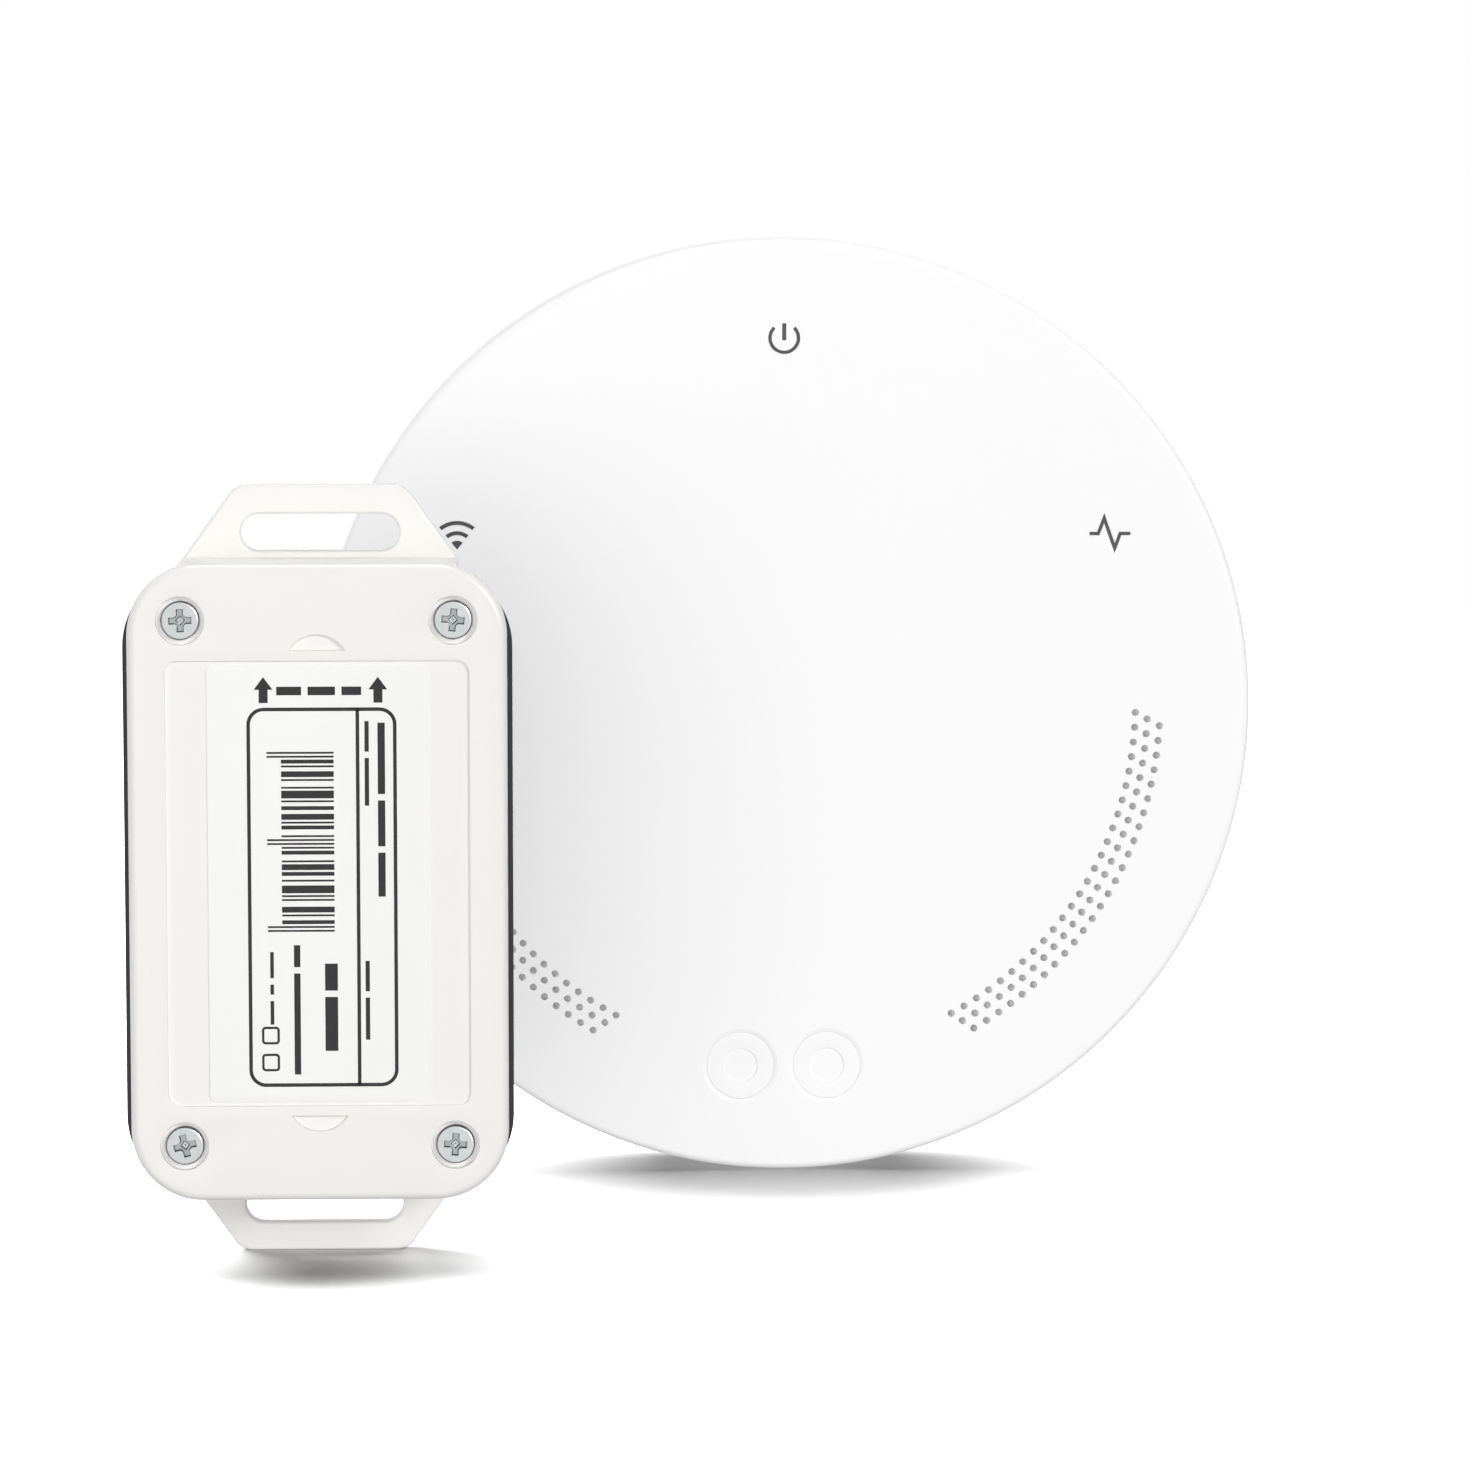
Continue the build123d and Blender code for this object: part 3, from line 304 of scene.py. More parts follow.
# Patterns of the finishes. Scales are per metre, and shares are of the pattern's own size or value.
tone_patch = 18.0
gloss_patch = 6.0
gloss_share = 0.15
steel_stain = 0.9
turned_ring_scale = 900.0
film_ripple = 2.2
cloth_thread = 0.5
track_pitch = 4.0
track_share = 0.06
scratch_scale = 9000.0
scratch_share = 0.03

# Camera, in millimetres and degrees. The angles are those that it looks back from.
camera_place = (-32.32, -773.58, 74.94)
camera_side_angle = -2.0
camera_height_angle = 6.0
camera_lens = 143.1
camera_sensor = 36.0

# Stage, in metres. The floor is lit near the object and runs out to plain white.
view_reach = 50.0
floor_size = 6.0
floor_drop = 0.00005
floor_tone = 0.92
floor_glow = 0.30
floor_roughness = 0.9
fade_start = 0.25
fade_end = 0.9
world_light = 0.10

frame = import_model()
node_slots = {row["node"]: row["material_slot"] for row in frame["record"]["subparts"]}


def back_of(node):
    """How far in front of the wall the back of a CAD node lies."""
    low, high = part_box(node)
    return -high.y / MM


# Rings of edges, and the steps that they are drawn through


def circle(bm, centre, radius, depth, segments):
    """A ring of edges about the centre."""
    place = Matrix.Translation((*centre, depth))
    made = bmesh.ops.create_circle(bm, segments=segments, radius=radius, matrix=place)
    return list(dict.fromkeys(edge for vert in made["verts"] for edge in vert.link_edges))


def keep_edges(bm, face):
    """Deletes the face and returns the ring of edges round it."""
    ring = list(face.edges)
    bmesh.ops.delete(bm, geom=[face], context="FACES_ONLY")
    return ring


def keep_outline(bm, faces):
    """Deletes the faces and what is inside them, and returns the edges round them."""
    edges = list(dict.fromkeys(edge for face in faces for edge in face.edges))
    outline = [edge for edge in edges if edge.is_boundary]
    inner = [edge for edge in edges if not edge.is_boundary]
    bmesh.ops.delete(bm, geom=faces, context="FACES_ONLY")
    bmesh.ops.delete(bm, geom=inner, context="EDGES")
    return outline


def round_corners(bm, verts, offset, segments):
    """Rounds a flat face's corners at the vertices, and returns the ring of edges round it."""
    made = bmesh.ops.bevel(
        bm, geom=verts, offset=offset, segments=segments, profile=0.5, affect="VERTICES", material=-1
    )
    return keep_edges(bm, made["verts"][0].link_faces[0])


def rounded(bm, width, height, radius, depth, segments, centre=(0, 0)):
    """A ring of edges round a rectangle with rounded corners."""
    place = Matrix.Translation((*centre, depth)) @ Matrix.Diagonal((width, height, 1, 1))
    verts = bmesh.ops.create_grid(bm, x_segments=1, y_segments=1, size=0.5, matrix=place)["verts"]
    return round_corners(bm, verts, radius, segments)


def walk(ring):
    """The ring's vertices in order, counterclockwise as the viewer sees them."""
    beside = {}
    for edge in ring:
        for vert in edge.verts:
            beside.setdefault(vert, []).append(edge.other_vert(vert))
    order = [ring[0].verts[0]]
    order.append(beside[order[0]][0])
    while len(order) < len(ring):
        one, other = beside[order[-1]]
        order.append(other if one is order[-2] else one)
    pairs = zip(order, order[1:] + order[:1])
    if sum(a.co.x * b.co.y - b.co.x * a.co.y for a, b in pairs) < 0:
        order.reverse()
    return order


def push(ring, grow):
    """Moves the ring's vertices outwards by grow, along its sides' normals."""
    order = walk(ring)
    moves = []
    for index, vert in enumerate(order):
        before = (vert.co - order[index - 1].co).xy
        after = (order[(index + 1) % len(order)].co - vert.co).xy
        one = Vector((before.y, -before.x)).normalized()
        other = Vector((after.y, -after.x)).normalized()
        moves.append((one + other) * grow / (1 + one.dot(other)))
    for vert, move in zip(order, moves):
        vert.co.xy += move


def draw_on(bm, ring, steps):
    """Extrudes the ring through (grow, rise) steps and returns the last ring."""
    for grow, rise in steps:
        made = bmesh.ops.extrude_edge_only(bm, edges=ring)["geom"]
        ring = [item for item in made if isinstance(item, bmesh.types.BMEdge) and item.is_boundary]
        if grow:
            push(ring, grow)
        verts = list({vert for edge in ring for vert in edge.verts})
        bmesh.ops.translate(bm, verts=verts, vec=(0, 0, rise))
    return ring


def quarter_round(radius, steps=6):
    """The (grow, rise) steps of a rounded edge, from a flat face down its side."""
    angles = [math.pi / 2 * index / steps for index in range(steps + 1)]
    return [
        (radius * (math.sin(b) - math.sin(a)), radius * (math.cos(b) - math.cos(a)))
        for a, b in zip(angles, angles[1:])
    ]


def inward(steps):
    """The same steps the other way across, for a hole, a recess or the far edge of a wall."""
    return [(-grow, rise) for grow, rise in steps]


def fill(bm, *rings):
    """Fills the space between the rings, which lie at one depth."""
    edges = [edge for ring in rings for edge in ring]
    return bmesh.ops.triangle_fill(bm, use_beauty=True, use_dissolve=False, edges=edges)


# Faces and turned shapes


def flat_face(bm, points, depth=0.0):
    """One flat face through the points."""
    return bm.faces.new([bm.verts.new((x, y, depth)) for x, y in points])


def flat_box(bm, left, right, low, high, depth=0.0):
    """One flat rectangle."""
    return flat_face(bm, [(left, low), (right, low), (right, high), (left, high)], depth)


def arc_band(bm, centre, radius, width, start_angle, end_angle, steps):
    """The faces of a flat band along an arc, angles in degrees."""
    start = Matrix.Rotation(math.radians(start_angle), 3, "Z")
    ends = [centre + start @ Vector((radius + side * width / 2, 0, 0)) for side in (-1, 1)]
    verts = [bm.verts.new(point) for point in ends]
    edge = bm.edges.new(verts)
    sweep = math.radians(end_angle - start_angle)
    known = set(bm.faces)
    bmesh.ops.spin(bm, geom=verts + [edge], cent=centre, axis=(0, 0, 1), angle=sweep, steps=steps)
    return [face for face in bm.faces if face not in known]


def raise_faces(bm, faces, height):
    """Gives flat faces a thickness towards the viewer."""
    made = bmesh.ops.extrude_face_region(bm, geom=faces, use_keep_orig=True)["geom"]
    verts = [item for item in made if isinstance(item, bmesh.types.BMVert)]
    bmesh.ops.translate(bm, verts=verts, vec=(0, 0, height))


def profile_from(radius, depth, steps):
    """The (radius, depth) points of a profile, from its first one on through (grow, rise) steps."""
    points = [(radius, depth)]
    for grow, rise in steps:
        radius += grow
        depth += rise
        points.append((radius, depth))
    return points


def lathe(bm, profile, segments, centre):
    """Spins a profile of (radius, depth) points about the depth axis."""
    verts = [bm.verts.new((centre[0] + radius, centre[1], depth)) for radius, depth in profile]
    edges = [bm.edges.new(pair) for pair in zip(verts, verts[1:])]
    bmesh.ops.spin(
        bm, geom=verts + edges, cent=(*centre, 0), axis=(0, 0, 1), angle=math.tau, steps=segments,
        use_merge=True,
    )


# Objects


def add_object(name, data):
    """A new object in the scene."""
    thing = bpy.data.objects.new(name, data)
    bpy.context.collection.objects.link(thing)
    return thing


def to_object(bm, name, place):
    """Makes a finished bmesh an object whose place, in the row frame, is in its mesh."""
    move = Matrix.Translation(Vector(place) * MM) @ Matrix.Scale(MM, 4) @ FACING
    bmesh.ops.transform(bm, matrix=move, verts=bm.verts)
    mesh = bpy.data.meshes.new(name)
    bm.to_mesh(mesh)
    bm.free()
    return add_object(name, mesh)


def piece(bm, name, body, slot, finish=None, place=(0, 0, 0), replaces=None):
    """A finished bmesh as a piece that rides on a body. Its finish is named as its slot, if not otherwise."""
    bmesh.ops.remove_doubles(bm, verts=bm.verts, dist=MERGE_GAP)
    bmesh.ops.recalc_face_normals(bm, faces=bm.faces)
    for edge in bm.edges:
        edge.smooth = edge.smooth and edge.calc_face_angle(0) < SHARP_ANGLE
    for face in bm.faces:
        face.smooth = True
    thing = to_object(bm, name, place)
    thing.data.materials.append(finishes[finish or slot].material)
    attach(thing, body)
    if replaces:
        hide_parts(replaces)
    return thing


def sensor_piece(bm, name, slot, finish=None, replaces=None):
    """A piece of the sensor, drawn about the sensor's own middle."""
    return piece(bm, name, "sensor", slot, finish, sensor_middle, replaces)


# Materials


class Finish:
    """A Principled material with short calls for the nodes that its pattern needs."""

    def __init__(self, name, colour, roughness, metallic=0.0, **sockets):
        self.material = bpy.data.materials.new(name)
        self.material.use_nodes = True
        self.nodes = self.material.node_tree.nodes
        self.links = self.material.node_tree.links
        self.shader = self.nodes["Principled BSDF"]
        self.shader.inputs["Base Color"].default_value = (*colour, 1)
        self.shader.inputs["Roughness"].default_value = roughness
        self.shader.inputs["Metallic"].default_value = metallic
        for socket, value in sockets.items():
            self.shader.inputs[socket.replace("_", " ")].default_value = value

    def add(self, kind, inputs=None, **settings):
        """A node with its settings, and each input set or linked."""
        node = self.nodes.new(kind)
        for key, value in settings.items():
            setattr(node, key, value)
        for socket, value in (inputs or {}).items():
            if isinstance(value, bpy.types.NodeSocket):
                self.links.new(value, node.inputs[socket])
            else:
                node.inputs[socket].default_value = value
        return node

    def place(self, centre=(0, 0, 0), stretch=(1, 1, 1)):
        """Object coordinates, stretched for the pattern or moved to its centre."""
        coords = self.add("ShaderNodeTexCoord").outputs["Object"]
        shift = [-value for value in centre]
        moved = self.add("ShaderNodeMapping", {"Vector": coords, "Scale": stretch, "Location": shift})
        return moved.outputs["Vector"]

    def noise(self, size_mm, detail=3.0):
        """A noise whose grains are about size_mm across."""
        node = self.add(
            "ShaderNodeTexNoise", {"Vector": self.place(), "Scale": 1 / (size_mm * MM), "Detail": detail}
        )
        return node.outputs["Fac"]

    def between(self, factor, low, high):
        """A value that runs from low to high as the factor runs from 0 to 1."""
        node = self.add("ShaderNodeMapRange", {"Value": factor, "To Min": low, "To Max": high})
        return node.outputs["Result"]

    def blend(self, factor, one, other):
        """A colour between two colours."""
        colours = {MIX_ONE: (*one, 1), MIX_OTHER: (*other, 1)}
        return self.add("ShaderNodeMix", {"Factor": factor, **colours}, data_type="RGBA").outputs[MIXED]

    def ramp(self, value, stops):
        """A grey that runs through the stops, each a place and a level."""
        node = self.add("ShaderNodeValToRGB", {"Fac": value})
        elements = node.color_ramp.elements
        for place, level in stops[1:-1]:
            elements.new(place)
        for element, (place, level) in zip(elements, stops):
            element.position = place
            element.color = (level, level, level, 1)
        return node.outputs["Color"]

    def bump(self, height, depth_mm):
        """Bumps that stand depth_mm high."""
        node = self.add("ShaderNodeBump", {"Height": height, "Strength": 1.0, "Distance": depth_mm * MM})
        self.drive("Normal", node.outputs["Normal"])

    def drive(self, socket, value):
        """Links a value to the shader."""
        self.links.new(value, self.shader.inputs[socket])


def moulded(name, colour, shade, roughness, grain_mm, depth_mm):
    """Moulded plastic: a fine spark-eroded grain and slow changes of tone and gloss."""
    finish = Finish(name, colour, roughness)
    finish.drive("Base Color", finish.blend(finish.noise(tone_patch, detail=2.0), colour, shade))
    low, high = roughness * (1 - gloss_share), roughness * (1 + gloss_share)
    finish.drive("Roughness", finish.between(finish.noise(gloss_patch), low, high))
    finish.bump(finish.noise(grain_mm, detail=2.0), depth_mm)
    return finish


def plated_steel(name):
    """Plated screw steel with a little stain."""
    finish = Finish(name, (0.63, 0.66, 0.66), 0.30, metallic=1.0)
    stain = finish.noise(steel_stain)
    finish.drive("Roughness", finish.between(stain, 0.24, 0.40))
    finish.drive("Base Color", finish.blend(stain, (0.71, 0.74, 0.74), (0.56, 0.59, 0.59)))
    return finish


def cover_screw_steel(name):
    """The same steel with turned rings round each cover screw, and painted shade that darkens it down the
    walls of its recess.
    """
    finish = plated_steel(name)
    centred = finish.place([value * MM for value in sensor_middle])
    folded = finish.add("ShaderNodeVectorMath", {0: centred}, operation="ABSOLUTE").outputs[0]
    spot = (lid_screw_x * MM, 0, lid_screw_y * MM)
    local = finish.add("ShaderNodeVectorMath", {0: folded, 1: spot}, operation="SUBTRACT").outputs[0]
    flat = finish.add("ShaderNodeVectorMath", {0: local, 1: (1, 0, 1)}, operation="MULTIPLY").outputs[0]
    rings = finish.add(
        "ShaderNodeTexWave",
        {"Vector": flat, "Scale": turned_ring_scale, "Distortion": 1.5, "Detail": 2.0, "Detail Scale": 3.0},
        wave_type="RINGS", rings_direction="SPHERICAL",
    )
    finish.bump(rings.outputs["Fac"], depth_mm=0.012)
    head_top = (lid_front - lid_bore_deep + head_h) * MM
    across = finish.add("ShaderNodeSeparateXYZ", {"Vector": centred}).outputs["Y"]
    below_top = finish.add(
        "ShaderNodeMapRange", {"Value": across, "From Min": -head_top, "From Max": MM - head_top}
    )
    colours = {
        MIX_ONE: finish.shader.inputs["Base Color"].links[0].from_socket,
        MIX_OTHER: finish.ramp(below_top.outputs["Result"], painted_recess_shades),
    }
    # Painted shade: the steel's colour is multiplied by a grey that darkens with depth down the recess
    recess_painted_shade = finish.add("ShaderNodeMix", {"Factor": 1.0, **colours}, data_type="RGBA", blend_type="MULTIPLY")
    finish.drive("Base Color", recess_painted_shade.outputs[MIXED])
    return finish


def printed_film(name):
    """The label's film: a smooth coat with a faint ripple from its glue."""
    finish = Finish(name, (0.84, 0.838, 0.818), 0.24)
    finish.drive("Roughness", finish.between(finish.noise(3.0), 0.20, 0.30))
    finish.drive("Base Color", finish.blend(finish.noise(9.0), (0.85, 0.848, 0.828), (0.83, 0.828, 0.808)))
    finish.bump(finish.noise(film_ripple, detail=1.0), depth_mm=0.012)
    return finish


def printing_ink(name):
    """Black ink, a little uneven in gloss and tone."""
    finish = Finish(name, (0.006, 0.006, 0.006), 0.42)
    finish.drive("Base Color", finish.blend(finish.noise(0.5), (0.004, 0.004, 0.004), (0.012, 0.012, 0.012)))
    finish.drive("Roughness", finish.between(finish.noise(0.8), 0.35, 0.50))
    return finish


def speaker_cloth(name):
    """Fine woven cloth: threads that pass over and under."""
    finish = Finish(name, (0.55, 0.55, 0.55), 0.9)
    thread = {"Scale": 1 / (cloth_thread * MM), "Distortion": 0.4}
    warp, weft = [
        finish.add("ShaderNodeTexWave", {"Vector": finish.place(), **thread}, bands_direction=way)
        for way in ("X", "Z")
    ]
    over = {0: warp.outputs["Fac"], 1: weft.outputs["Fac"]}
    woven = finish.add("ShaderNodeMath", over, operation="MAXIMUM").outputs[0]
    finish.drive("Base Color", finish.blend(woven, (0.60, 0.60, 0.60), (0.82, 0.82, 0.82)))
    finish.bump(woven, depth_mm=0.08)
    return finish


def circuit_board(name):
    """Green solder mask with copper tracks that show through it."""
    finish = Finish(name, (0.02, 0.14, 0.06), 0.32)
    tracks = finish.add(
        "ShaderNodeTexVoronoi", {"Vector": finish.place(), "Scale": 1 / (track_pitch * MM)},
        distance="MANHATTAN", feature="DISTANCE_TO_EDGE",
    ).outputs["Distance"]
    line = finish.add("ShaderNodeMath", {0: tracks, 1: track_share}, operation="LESS_THAN").outputs[0]
    finish.drive("Base Color", finish.blend(line, (0.012, 0.10, 0.04), (0.04, 0.26, 0.10)))
    finish.bump(line, depth_mm=0.03)
    return finish


def sheet_metal(name, colour, roughness):
    """Rolled and plated sheet with fine scratches one way."""
    finish = Finish(name, colour, roughness, metallic=1.0)
    drawn = finish.place(stretch=(1, 1, scratch_share))
    scratches = {"Vector": drawn, "Scale": scratch_scale, "Detail": 4.0}
    streaks = finish.add("ShaderNodeTexNoise", scratches).outputs["Fac"]
    finish.drive("Roughness", finish.between(streaks, roughness * 0.7, roughness * 1.4))
    finish.bump(streaks, depth_mm=0.004)
    return finish


def clear_glass(name):
    """Thin clear glass with a slight unevenness."""
    finish = Finish(name, (0.92, 0.95, 0.96), 0.03, Transmission_Weight=1.0, IOR=1.5)
    finish.bump(finish.noise(2.5, detail=1.0), depth_mm=0.01)
    return finish


# How each finish is made. Moulded ones have a colour, its other shade, a roughness, and the grain's size and
# depth in millimetres. Sheet metal has a colour and a roughness.
recipes = {
    "casing_white": (moulded, (0.95, 0.95, 0.95), (0.94, 0.94, 0.945), 0.34, 0.35, 0.0015),
    "button_white": (moulded, (0.945, 0.945, 0.945), (0.935, 0.935, 0.94), 0.32, 0.35, 0.0015),
    "symbol_grey": (moulded, (0.065, 0.065, 0.068), (0.085, 0.085, 0.09), 0.30, 0.4, 0.001),
    "speaker_cloth": (speaker_cloth,),
    "board_green": (circuit_board,),
    "screw_steel": (plated_steel,),
    "cover_screw_steel": (cover_screw_steel,),
    "tin_shield": (sheet_metal, (0.80, 0.80, 0.79), 0.26),
    "part_black": (moulded, (0.018, 0.018, 0.018), (0.028, 0.028, 0.028), 0.5, 0.3, 0.008),
    "relay_blue": (moulded, (0.02, 0.09, 0.36), (0.025, 0.10, 0.40), 0.35, 0.3, 0.004),
    "terminal_green": (moulded, (0.03, 0.28, 0.10), (0.035, 0.31, 0.11), 0.45, 0.3, 0.006),
    "lamp_yellow": (moulded, (0.82, 0.72, 0.28), (0.88, 0.80, 0.40), 0.2, 0.5, 0.002),
    "can_metal": (sheet_metal, (0.82, 0.82, 0.84), 0.32),
    "contact_nickel": (sheet_metal, (0.70, 0.68, 0.63), 0.28),
    "aerial_sleeve": (moulded, (0.02, 0.02, 0.02), (0.04, 0.04, 0.04), 0.5, 0.4, 0.01),
    "sensor_white": (moulded, (0.815, 0.798, 0.775), (0.805, 0.788, 0.765), 0.22, 0.6, 0.001),
    "sensor_black": (moulded, (0.008, 0.008, 0.009), (0.012, 0.012, 0.013), 0.18, 0.6, 0.001),
    "gasket_rubber": (moulded, (0.015, 0.015, 0.015), (0.03, 0.03, 0.03), 0.75, 0.2, 0.01),
    "label_film": (printed_film,),
    "label_ink": (printing_ink,),
    "cell_wrap": (moulded, (0.06, 0.10, 0.16), (0.08, 0.13, 0.20), 0.25, 1.0, 0.003),
    "tube_glass": (clear_glass,),
    "ball_gold": (sheet_metal, (0.86, 0.62, 0.22), 0.12),
    "pipe_clear": (moulded, (0.72, 0.75, 0.75), (0.78, 0.80, 0.80), 0.12, 1.0, 0.001),
}
finishes = {name: make(name, *values) for name, (make, *values) in recipes.items()}


# Symbols on the hub


def icon_centre(name):
    """The middle of one symbol."""
    angle = math.radians(icon_angles[name])
    return icon_circle_r * math.cos(angle), icon_circle_r * math.sin(angle)


def stroke_points(points, width):
    """The outline of a line of constant width through the points, with square ends."""
    sides = []
    line = [Vector(point) for point in points]
    for index, point in enumerate(line):
        ways = [(b - a).normalized() for a, b in zip(line, line[1:])][max(index - 1, 0):index + 1]
        normals = [Vector((-way.y, way.x)) for way in ways]
        middle = sum(normals, Vector((0, 0)))
        offset = middle * width / 2 * len(normals) / middle.length_squared
        sides.append((point + offset, point - offset))
    return [one for one, other in sides] + [other for one, other in reversed(sides)]


def power_faces(bm, centre, grow):
    """A ring that is open at its top, and a bar in the opening."""
    half_gap = power_gap_half_angle - math.degrees(grow / power_ring_r)
    start, end = 90 + half_gap, 450 - half_gap
    ring = arc_band(bm, centre, power_ring_r, power_stroke + 2 * grow, start, end, power_segments)
    half_w, half_l = power_bar_w / 2 + grow, power_bar_len / 2 + grow
    middle = centre.y + power_bar_rise
    bar = flat_box(bm, centre.x - half_w, centre.x + half_w, middle - half_l, middle + half_l, centre.z)
    return [ring, [bar]]


def wireless_faces(bm, centre, grow):
    """Two arcs over a small fan."""
    foot = centre - Vector((0, wave_drop, 0))
    outer_r = fan_r + grow
    bands = [(radius, radius, wave_stroke + 2 * grow, wave_segments) for radius in wave_radii]
    bands.append((fan_r, (outer_r + fan_inner_r) / 2, outer_r - fan_inner_r, fan_segments))
    groups = []
    for reach, middle_r, width, segments in bands:
        half = wave_half_angle + math.degrees(grow / reach)
        groups.append(arc_band(bm, foot, middle_r, width, 90 - half, 90 + half, segments))
    return groups


def pulse_faces(bm, centre, grow):
    """A level line with one peak and one dip."""
    heights = (0, 0, pulse_up, -pulse_down, 0, 0)
    line = [
        (centre.x + share * pulse_half_w, centre.y + height) for share, height in zip(pulse_x_shares, heights)
    ]
    return [[flat_face(bm, stroke_points(line, pulse_stroke + 2 * grow), centre.z)]]


def symbol_faces(bm, name, grow, depth):
    """The flat faces of one symbol, every stroke wider by grow on each side, in groups that touch."""
    drawn = {"power": power_faces, "activity": pulse_faces, "wireless": wireless_faces}
    return drawn[name](bm, Vector((*icon_centre(name), depth)), grow)


def light_guide(name):
    """A symbol in smoked plastic, flush with the face, on its round flange and its stem."""
    bm = bmesh.new()
    for faces in symbol_faces(bm, name, 0.0, face_inner):
        raise_faces(bm, faces, face_t)
    node = f"{name}_light_guide"
    flange_back, foot = face_inner - guide_flange_t, back_of(node)
    flange = [(0, face_inner), (guide_flange_r, face_inner), (guide_flange_r, flange_back), (0, flange_back)]
    stem = [(0, flange_back), (guide_stem_r, flange_back), (guide_stem_r, foot), (0, foot)]
    lathe(bm, flange, guide_flange_segments, icon_centre(name))
    lathe(bm, stem, guide_stem_segments, icon_centre(name))
    piece(bm, f"{name}_symbol", "hub", "symbol_grey", replaces=node)


# Hub casing and buttons


def hole_centres(radius, middle_angle):
    """Points hole_pitch apart along a circle, evenly about the middle angle."""
    step = hole_pitch / radius
    first = math.radians(middle_angle) - (hole_columns - 1) / 2 * step
    angles = [first + column * step for column in range(hole_columns)]
    return [(radius * math.cos(angle), radius * math.sin(angle)) for angle in angles]


def cloth_seat(bm, middle_angle, depth):
    """The ring round the seat of one cloth strip."""
    inner = hole_row_radii[0] - seat_margin
    width = hole_row_radii[-1] + seat_margin - inner
    half = math.degrees(((hole_columns + 1) / 2 * hole_pitch + seat_play) / hole_row_radii[0])
    start, end = middle_angle - half, middle_angle + half
    band = arc_band(bm, Vector((0, 0, depth)), inner + width / 2, width, start, end, seat_segments)
    return keep_outline(bm, band)


def front_cover():
    """The hub's face with its sound holes, cloth seats, button bores and symbol windows, and its skirt."""
    bm = bmesh.new()
    rim = circle(bm, (0, 0), hub_r - front_edge_r, hub_front, rim_segments)
    bores = [
        circle(bm, (side * button_x, button_y), button_bore_r + button_lip_w, hub_front, button_segments)
        for side in (-1, 1)
    ]
    windows = [
        keep_outline(bm, faces)
        for name in icon_angles for faces in symbol_faces(bm, name, icon_gap, hub_front)
    ]
    holes = {
        middle_angle: [
            circle(bm, centre, hole_r + hole_lip, hub_front, hole_segments)
            for radius in hole_row_radii for centre in hole_centres(radius, middle_angle)
        ]
        for middle_angle in (hole_mid_angle, 180 - hole_mid_angle)
    }
    fill(bm, rim, *bores, *windows, *[hole for side in holes.values() for hole in side])
    # The shallow lips round the buttons keep a crisp outer edge
    for edge in bores[0] + bores[1]:
        edge.smooth = False
    bore_steps = [(-button_lip_w, -button_lip_deep), (0, button_lip_deep - face_t)]
    back_rings = [draw_on(bm, bore, bore_steps) for bore in bores]
    back_rings += [draw_on(bm, window, [(0, -face_t)]) for window in windows]
    for middle_angle, side in holes.items():
        feet = [draw_on(bm, hole, [(-hole_lip, -hole_lip), (0, hole_lip - hole_wall_t)]) for hole in side]
        seat = cloth_seat(bm, middle_angle, hub_front - hole_wall_t)
        fill(bm, seat, *feet)
        back_rings.append(draw_on(bm, seat, [(0, hole_wall_t - face_t)]))
    skirt = [(0, seam_depth - hub_front + front_edge_r), (-skirt_t, 0), (0, face_inner - seam_depth)]
    inner = draw_on(bm, rim, quarter_round(front_edge_r, front_edge_steps) + skirt)
    fill(bm, inner, *back_rings)
    piece(bm, "hub_front", "hub", "casing_white", replaces="front_cover")


def button(name, side):
    """A dished push button with its flange and its stem."""
    top = hub_front - button_sunk
    flange_front = face_inner - button_flange_gap
    flange_back = flange_front - button_flange_t
    foot = back_of(name)
    dish = [(grow, -rise * dimple_deep / dimple_edge) for grow, rise in reversed(quarter_round(dimple_edge))]
    profile = [(0, top - dimple_deep)]
    profile += profile_from(dimple_r - dimple_edge, top - dimple_deep, dish)
    profile += profile_from(button_r - button_edge_r, top, quarter_round(button_edge_r))
    profile += [
        (button_r, flange_front), (button_flange_r, flange_front), (button_flange_r, flange_back),
        (button_stem_r, flange_back), (button_stem_r, foot), (0, foot),
    ]
    bm = bmesh.new()
    lathe(bm, profile, button_segments, (side * button_x, button_y))
    piece(bm, f"{name}_cap", name, "button_white", replaces=name)


# Sensor cover


def ear(bm, side):
    """One slotted ear and the end block that joins it to the lid; side is 1 for the upper one."""
    root, top, foot = ear_root_w / 2, ear_top_w / 2, block_top - block_t
    outline = [
        (-root, foot), (root, foot), (root, ear_root_y), (top, ear_span / 2), (-top, ear_span / 2),
        (-root, ear_root_y),
    ]
    face = flat_face(bm, [(x, side * y) for x, y in outline])
    tips = [vert for vert in face.verts if abs(vert.co.y) > slot_y]
    cut = ear_corner_r * math.tan(math.radians(ear_corner_half_turn))
    ring = round_corners(bm, tips, cut, ear_corner_segments)
    slot = rounded(bm, slot_w, slot_h, slot_end_r, 0, slot_end_segments, (0, side * slot_y))
    push(ring, -ear_round)
    push(slot, ear_round)
    fill(bm, ring, slot)
    near_edge = quarter_round(ear_round, ear_round_steps)
    steps = near_edge + [(0, 2 * ear_round - ear_t)] + inward(reversed(near_edge))
    fill(bm, draw_on(bm, ring, steps), draw_on(bm, slot, inward(steps)))
    middle = (0, side * (block_top - block_t / 2))
    block = rounded(bm, ear_root_w, block_t, block_corner_r, -ear_t, block_corner_segments, middle)
    end = draw_on(bm, block, [(0, lid_inner + ear_t + block_in_lid)])
    fill(bm, block)
    fill(bm, end)


